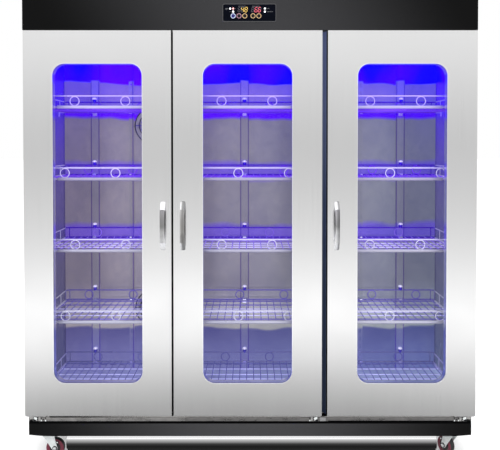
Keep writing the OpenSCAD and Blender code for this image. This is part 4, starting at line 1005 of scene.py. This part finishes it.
TURN = {"front_left": 0, "front_right": 122, "rear_left": 75, "rear_right": 105}
PIVOT = {"front_left": (-0.82, -0.225), "front_right": (0.82, -0.225), "rear_left": (-0.82, 0.225), "rear_right": (0.82, 0.225)}
for k, deg in TURN.items():
    a = math.radians(deg)
    px, py = PIVOT[k]
    c = (px + 0.028 * math.cos(a), py + 0.028 * math.sin(a), 0.0375)
    turn = Matrix.Rotation(a, 3, "Z")
    s = Solid()
    # core: hub, recessed web, rim lip
    prof = [(0.0041, -0.0125), (0.0100, -0.0125), (0.0108, -0.0118), (0.0110, -0.0084), (0.0122, -0.0076), (0.0206, -0.0072), (0.0214, -0.0080),
            (0.0214, 0.0080), (0.0206, 0.0072), (0.0122, 0.0076), (0.0110, 0.0084), (0.0108, 0.0118), (0.0100, 0.0125), (0.0041, 0.0125)]
    s.lathe(prof, c, "y", 48, 2, turn)
    prof = [(0.0210, -0.0076), (0.0216, -0.0106), (0.0228, -0.0116), (0.0270, -0.0110), (0.0290, -0.0122), (0.0348, -0.0122), (0.0358, -0.0112), (0.0358, 0.0112), (0.0348, 0.0122), (0.0290, 0.0122),
            (0.0270, 0.0110), (0.0228, 0.0116), (0.0216, 0.0106), (0.0210, 0.0076)]
    s.lathe(prof, c, "y", 48, 0, turn)
    # ribs on the web
    for q in range(6):
        r6 = Matrix.Rotation(math.radians(60 * q + 15), 3, "Y")
        for sg in (-1, 1):
            v = []
            for dx in (0.0108, 0.0214):
                for dz in (-0.0011, 0.0011):
                    for dy in (0.0066, 0.0100):
                        p = turn @ (r6 @ Vector((dx, sg * dy, dz)))
                        v.append(Vector(c) + p)
            s.add(v, [(0, 1, 3, 2), (4, 6, 7, 5), (0, 4, 5, 1), (2, 3, 7, 6), (1, 5, 7, 3), (0, 2, 6, 4)], 2, False)
    # tyre with shoulders and two shallow grooves
    tyre = [(0.0354, -0.0108), (0.0356, -0.0110), (0.0360, -0.0106), (0.0366, -0.0088), (0.0371, -0.0062), (0.0366, -0.0054), (0.0366, -0.0044), (0.0373, -0.0038),
            (0.0375, 0.0), (0.0373, 0.0038), (0.0366, 0.0044), (0.0366, 0.0054), (0.0371, 0.0062), (0.0366, 0.0088), (0.0360, 0.0106), (0.0356, 0.0110), (0.0354, 0.0108)]
    s.lathe(tyre, c, "y", 64, 1, turn)
    s.make(f"wheel_{k}_core_and_tyre", ["core_red", "tyre", "core_web"], f"wheel_{k}", (f"caster_wheel_{k}",))

# rivets and washers of the forks, and the covers of the axle bolts
for k, deg in TURN.items():
    a = math.radians(deg)
    px, py = PIVOT[k]
    turn = Matrix.Rotation(a, 3, "Z")
    s = Solid()
    for sg, ax in ((-1, "-y"), (1, "y")):
        def at(lx, ly, lz):
            q = turn @ Vector((lx, ly, 0.0))
            return (px + q.x, py + q.y, lz)
        # the profile's distance runs outwards on both sides
        s.lathe([(0.0058, 0.0), (0.0058, 0.0006), (0.0048, 0.0010), (0.0040, 0.0010)], at(0.0385, sg * 0.0175, 0.0620), ax, 22, 1, turn)
        s.lathe([(0.0038, 0.0), (0.0038, 0.0010), (0.0030, 0.0020), (0.0014, 0.0025), (0.0002, 0.0026)], at(0.0385, sg * 0.0175, 0.0620), ax, 22, 0, turn)
        s.lathe([(0.0100, 0.0), (0.0100, 0.0006), (0.0090, 0.0009), (0.0076, 0.0009), (0.0076, 0.0)], at(0.028, sg * 0.0175, 0.0375), ax, 26, 1, turn)
        s.lathe([(0.0052, 0.0), (0.0050, 0.0007), (0.0036, 0.0014), (0.0002, 0.0017)], at(0.028, sg * 0.0215, 0.0375), ax, 22, 0, turn)
    s.make(f"fork_fixings_{k}", ["polished", "black_trim"], f"swivel_{k}")

# folded drip edge under the tray's rolled front, in near-black steel: painted shade under the tray
s = Solid()
s.rings([[(x, y, z) for y, z in ((-0.2700, 0.0500), (-0.2716, 0.0490), (-0.2712, 0.0400), (-0.2702, 0.0388), (-0.2690, 0.0392), (-0.2688, 0.0404), (-0.2698, 0.0408), (-0.2700, 0.0486), (-0.2690, 0.0494))]
         for x in (-0.7325, -0.4, 0.0, 0.4, 0.7445)], 0, smooth=False)
s.make("tray_drip_edge", ["edge_steel"], "drip_tray")

# ------------------------------------------------------------------ control panel: rim, lamps, digits and key rings

Y_GLASS = -0.2835
Y_FACE = Y_GLASS - 0.00025


def disc(s, x, z, r, y0, y1, mat=0, n=20, dome=0.0):
    """A thin round lens with its face at y1, a little domed."""
    s.lathe([(r, 0.0), (r, (y0 - y1) * 0.7), (r * 0.86, (y0 - y1)), (r * 0.45, (y0 - y1) + dome), (0.0002, (y0 - y1) + dome * 1.2)], (x, y0, z), "-y", n, mat)


def bar(s, pts, y0, y1, mat=0):
    s.prism(pts, y1, y0, mat)


SEGMENTS = {
    "0": "abcdef", "1": "bc", "2": "abged", "3": "abgcd", "4": "fgbc", "5": "afgcd", "6": "afgedc", "7": "abc", "8": "abcdefg", "9": "abcdfg"}


def digit(s, text, x, z, w, h, mat, off=None, thick=0.0021, slant=0.16):
    """A seven-segment figure, leaning to the right; segments that are out take the material off, if one is given."""
    g = 0.00035
    half = h / 2
    seg = {
        "a": ((0, h), (w, h)), "g": ((0, half), (w, half)), "d": ((0, 0), (w, 0)),
        "f": ((0, half), (0, h)), "b": ((w, half), (w, h)), "e": ((0, 0), (0, half)), "c": ((w, 0), (w, half))}
    for name, ((u0, v0), (u1, v1)) in seg.items():
        lit = name in SEGMENTS[text]
        if not lit and off is None:
            continue
        t = thick / 2
        if v0 == v1:
            a, b2 = u0 + g + t * 0.4, u1 - g - t * 0.4
            pts = [(a, v0), (a + t, v0 - t), (b2 - t, v0 - t), (b2, v0), (b2 - t, v0 + t), (a + t, v0 + t)]
        else:
            a, b2 = v0 + g + t * 0.4, v1 - g - t * 0.4
            pts = [(u0, a), (u0 + t, a + t), (u0 + t, b2 - t), (u0, b2), (u0 - t, b2 - t), (u0 - t, a + t)]
        out = [(x + u + slant * (v - half), z + v - half) for u, v in pts]
        bar(s, out, Y_FACE, Y_FACE - (0.0003 if lit else 0.00015), mat if lit else off)


s = Solid()
# rim round the glass
loops = []
for u, dy in ((0.0012, 0.0004), (0.0042, 0.0004), (0.0042, -0.0011), (0.0036, -0.0017), (0.0006, -0.0017), (0.0, -0.0011)):
    loops.append([(x, -0.2822 + dy, z) for x, z in rounded(-0.106 - u, 0.100 + u, 1.756 - u, 1.821 + u, 0.0045 + u, 6)])
s.rings([[loops[i][j] for i in range(len(loops))] for j in range(len(loops[0]))], 0, closed=True)
s.make("control_panel_rim", ["rim_grey"], "cabinet")

s = Solid()
for x, z, mt in ((-0.0787, 1.8047, 0), (-0.0668, 1.8050, 1), (-0.0668, 1.7930, 0), (0.0584, 1.8050, 0), (0.0584, 1.7930, 0)):
    disc(s, x, z, 0.0038, Y_GLASS, Y_GLASS - 0.0006, mt, 20, 0.0003)
s.make("indicator_lenses", ["led_white", "led_rose"], "cabinet")

s = Solid()
for x, text, mt in ((-0.0470, "8", None), (-0.0345, "4", 0), (-0.0205, "8", 0), (0.0062, "8", None), (0.0190, "6", 1), (0.0325, "6", 1)):
    if mt is None:
        digit(s, text, x, 1.8005, 0.0082, 0.0175, 2, thick=0.0018)
    else:
        digit(s, text, x, 1.8005, 0.0092, 0.0185, mt, off=2, thick=0.0021)
s.make("display_digits", ["digit_amber", "digit_red", "digit_off"], "cabinet")

s = Solid()


def dash(x0, x1, z, h, lean=0.3, mat=0):
    bar(s, [(x0 - lean * h / 2, z - h / 2), (x1 - lean * h / 2, z - h / 2), (x1 + lean * h / 2, z + h / 2), (x0 + lean * h / 2, z + h / 2)], Y_FACE, Y_FACE - 0.00015, mat)


# plain tick marks over the displays and beside the lamps
for x0, n in ((-0.0470, 9), (0.0085, 9)):
    for i in range(n):
        dash(x0 + i * 0.0033, x0 + i * 0.0033 + 0.0021, 1.8142, 0.0019)
for x0, n, z in ((0.0690, 2, 1.8047), (0.0690, 6, 1.7925)):
    for i in range(n):
        dash(x0 + i * 0.0036, x0 + i * 0.0036 + (0.0030 if i == 0 else 0.0023), z, 0.0026 if i == 0 else 0.0016)
dash(-0.0592, -0.0562, 1.8047, 0.0012)
dash(-0.0800, -0.0778, 1.7925, 0.0016)
for i in range(3):
    dash(-0.0968 + i * 0.0034, -0.0950 + i * 0.0034, 1.8038, 0.0052 + 0.0008 * (i == 1), 0.5)
s.make("panel_tick_marks", ["mark_grey"], "cabinet")

KEY_X = (-0.0668, -0.0437, -0.0211, 0.0115, 0.0346)
for i, (x, mt) in enumerate(zip(KEY_X, ("ring_ice", "ring_rose", "ring_gold", "ring_gold", "ring_gold"))):
    s = Solid()
    c = (x, -0.2847, 1.776)
    s.lathe([(0.0074, -0.0002), (0.0076, 0.0003), (0.0080, 0.0006), (0.0090, 0.0006), (0.0096, 0.0003), (0.0096, -0.0002)], c, "-y", 40, 0)
    # dished middle with a small raised square sign
    s.lathe([(0.0073, -0.0001), (0.0070, 0.0002), (0.0040, 0.00005), (0.0002, 0.0)], c, "-y", 32, 1)
    k = 0.0026
    s.prism([(x, 1.776 - k), (x + k, 1.776), (x, 1.776 + k), (x - k, 1.776)], -0.2850, -0.2847, 1)
    s.make(f"key_ring_{i + 1}", [mt, "key_navy" if i == 0 else "key_dark"], f"key_{i + 1}")

# ------------------------------------------------------------------ dark strips behind the door gaps: painted shade

s = Solid()
s.box((-0.3215, -0.2385, 0.188), (-0.2975, -0.2361, 1.716), 0, 0.0005)
for k in range(3):
    x = -0.3150 + 0.0055 * k
    s.box((x - 0.0009, -0.2400, 0.190), (x + 0.0009, -0.2384, 1.714), 0, 0.0004)
s.make("mullion_shade_strip_left", ["void_black"], "cabinet")

# thin black strips on the door sides that face each other: painted shade in the gaps between the doors
for key, side, sg in (("left", DOOR_X["left"][1], 1), ("centre", DOOR_X["centre"][0], -1), ("centre", DOOR_X["centre"][1], 1), ("right", DOOR_X["right"][0], -1)):
    s = Solid()
    lo, hi = sorted((side + sg * 0.00005, side + sg * 0.00055))
    s.box((lo, -0.2772, 0.190), (hi, -0.2420, 1.715), 0, 0.0001)
    for q in range(3):
        y = -0.2700 + 0.011 * q
        lo2, hi2 = sorted((side + sg * 0.0005, side + sg * 0.0009))
        s.box((lo2, y, 0.192), (hi2, y + 0.0016, 1.713), 0, 0.0001)
    if key == "centre" and sg < 0:
        # a black strip also lies over the edge of its skin: a painted shade line along the gap
        s.box((side - 0.0005, -0.2804, 0.190), (side + 0.0010, -0.2768, 1.715), 0, 0.0001)
    s.make(f"door_edge_shade_{key}_{'right' if sg > 0 else 'left'}", ["void_black"], f"door_{key}")

# the slot under the doors and the line over the plinth: black strips as painted shade, and the steel edge of the base
# that runs over the top of the plinth
s = Solid()
for x0, x1 in ((-0.817, 0.203), (0.286, 0.818)):
    s.box((x0, -0.2705, 0.1812), (x1, -0.2450, 0.1842), 0, 0.0004)
s.box((-0.8835, -0.2787, 0.1540), (0.8835, -0.2775, 0.1638), 0, 0.0003)
s.box((-0.8835, -0.2791, 0.1570), (0.8835, -0.2781, 0.1605), 0, 0.0003)
s.box((0.312, -0.2799, 0.1640), (0.815, -0.2790, 0.1664), 0, 0.0002)
# a black wedge that tapers off towards the right: painted shade under the door
s.prism([(-0.803, 0.1808), (-0.620, 0.1818), (-0.400, 0.1841), (-0.400, 0.1845), (-0.803, 0.1845)], -0.2793, -0.2700, 0)
s.make("base_shade_strips", ["void_black"], "cabinet")

s = Solid()
# the centre and right lengths take a darker copy of the strip's steel: painted shade
for xs, mt in (((-0.868, -0.5, -0.26), 0), ((-0.26, 0.0, 0.30), 1), ((0.30, 0.6, 0.866), 1)):
    s.rings([[(x, y, z) for y, z in ((-0.2779, 0.1637), (-0.2793, 0.1639), (-0.2797, 0.1648), (-0.2797, 0.1758), (-0.2793, 0.1768), (-0.2700, 0.1774), (-0.2700, 0.1764), (-0.2786, 0.1756), (-0.2786, 0.1646), (-0.2779, 0.1645))]
             for x in xs], mt, smooth=False)
s.make("base_edge_strip", ["strip_steel", "strip_dark"], "cabinet")

# small hardware at the ends of the strip and under the gap: plates, hex heads and screws of the lower hinges
s = Solid()
for x0, sg in ((-0.867, 1), (0.866, -1), (0.272, -1)):
    def put(u0, u1, z0, z1, mat, y=-0.2803):
        lo, hi = sorted((x0 + sg * u0, x0 + sg * u1))
        s.box((lo, y, z0), (hi, -0.2795, z1), mat, 0.0003)
    put(0.000, 0.020, 0.1625, 0.1800, 1)
    put(0.003, 0.010, 0.1720, 0.1806, 0, -0.2812)
    put(0.012, 0.018, 0.1650, 0.1700, 2, -0.2810)
    s.lathe([(0.0052, 0.0), (0.0052, 0.0030), (0.0044, 0.0036), (0.0002, 0.0036)], (x0 + sg * 0.0125, -0.2803, 0.1752), "-y", 6, 0, smooth=False)
    put(0.0215, 0.0300, 0.1640, 0.1790, 2)
    for u, z, mt in ((0.0335, 0.1760, 1), (0.0335, 0.1665, 0), (0.041, 0.1715, 1), (0.050, 0.1765, 1), (0.050, 0.1660, 0)):
        if x0 > 0.2 and x0 < 0.3 and u > 0.04:
            continue
        s.lathe([(0.0027, 0.0), (0.0027, 0.0008), (0.0020, 0.0014), (0.0002, 0.0016)], (x0 + sg * u, -0.2796, z), "-y", 14, mt)
# bright tab under the wide gap
s.box((0.279, -0.2806, 0.1642), (0.302, -0.2795, 0.1786), 3, 0.0005)
s.lathe([(0.0030, 0.0), (0.0030, 0.0008), (0.0022, 0.0014), (0.0002, 0.0015)], (0.2905, -0.2806, 0.1715), "-y", 16, 2)
s.make("lower_hinge_fixings", ["zinc", "black_trim", "rail_steel", "pin_steel"], "cabinet")

# ------------------------------------------------------------------ lamps' own light in each compartment

for key, (x0, x1) in BASKET_X.items():
    mid = (x0 + x1) / 2
    area(f"glow_{key}", (mid, 0.04, 1.640), (mid, 0.04, 0.0), 0.40, 0.6, (0.09, 0.0, 1.0), 0.03, glossy=False)
    # soft daylight that falls in through the window
    wx = sum(DOOR_X[key]) / 2
    area(f"daylight_{key}", (wx, -0.262, 0.953), (wx, 0.2, 0.953), 0.34, 0.8, (1.0, 0.99, 1.0), 1.24, glossy=True)

# ------------------------------------------------------------------ sizes, and the end

lo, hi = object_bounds()
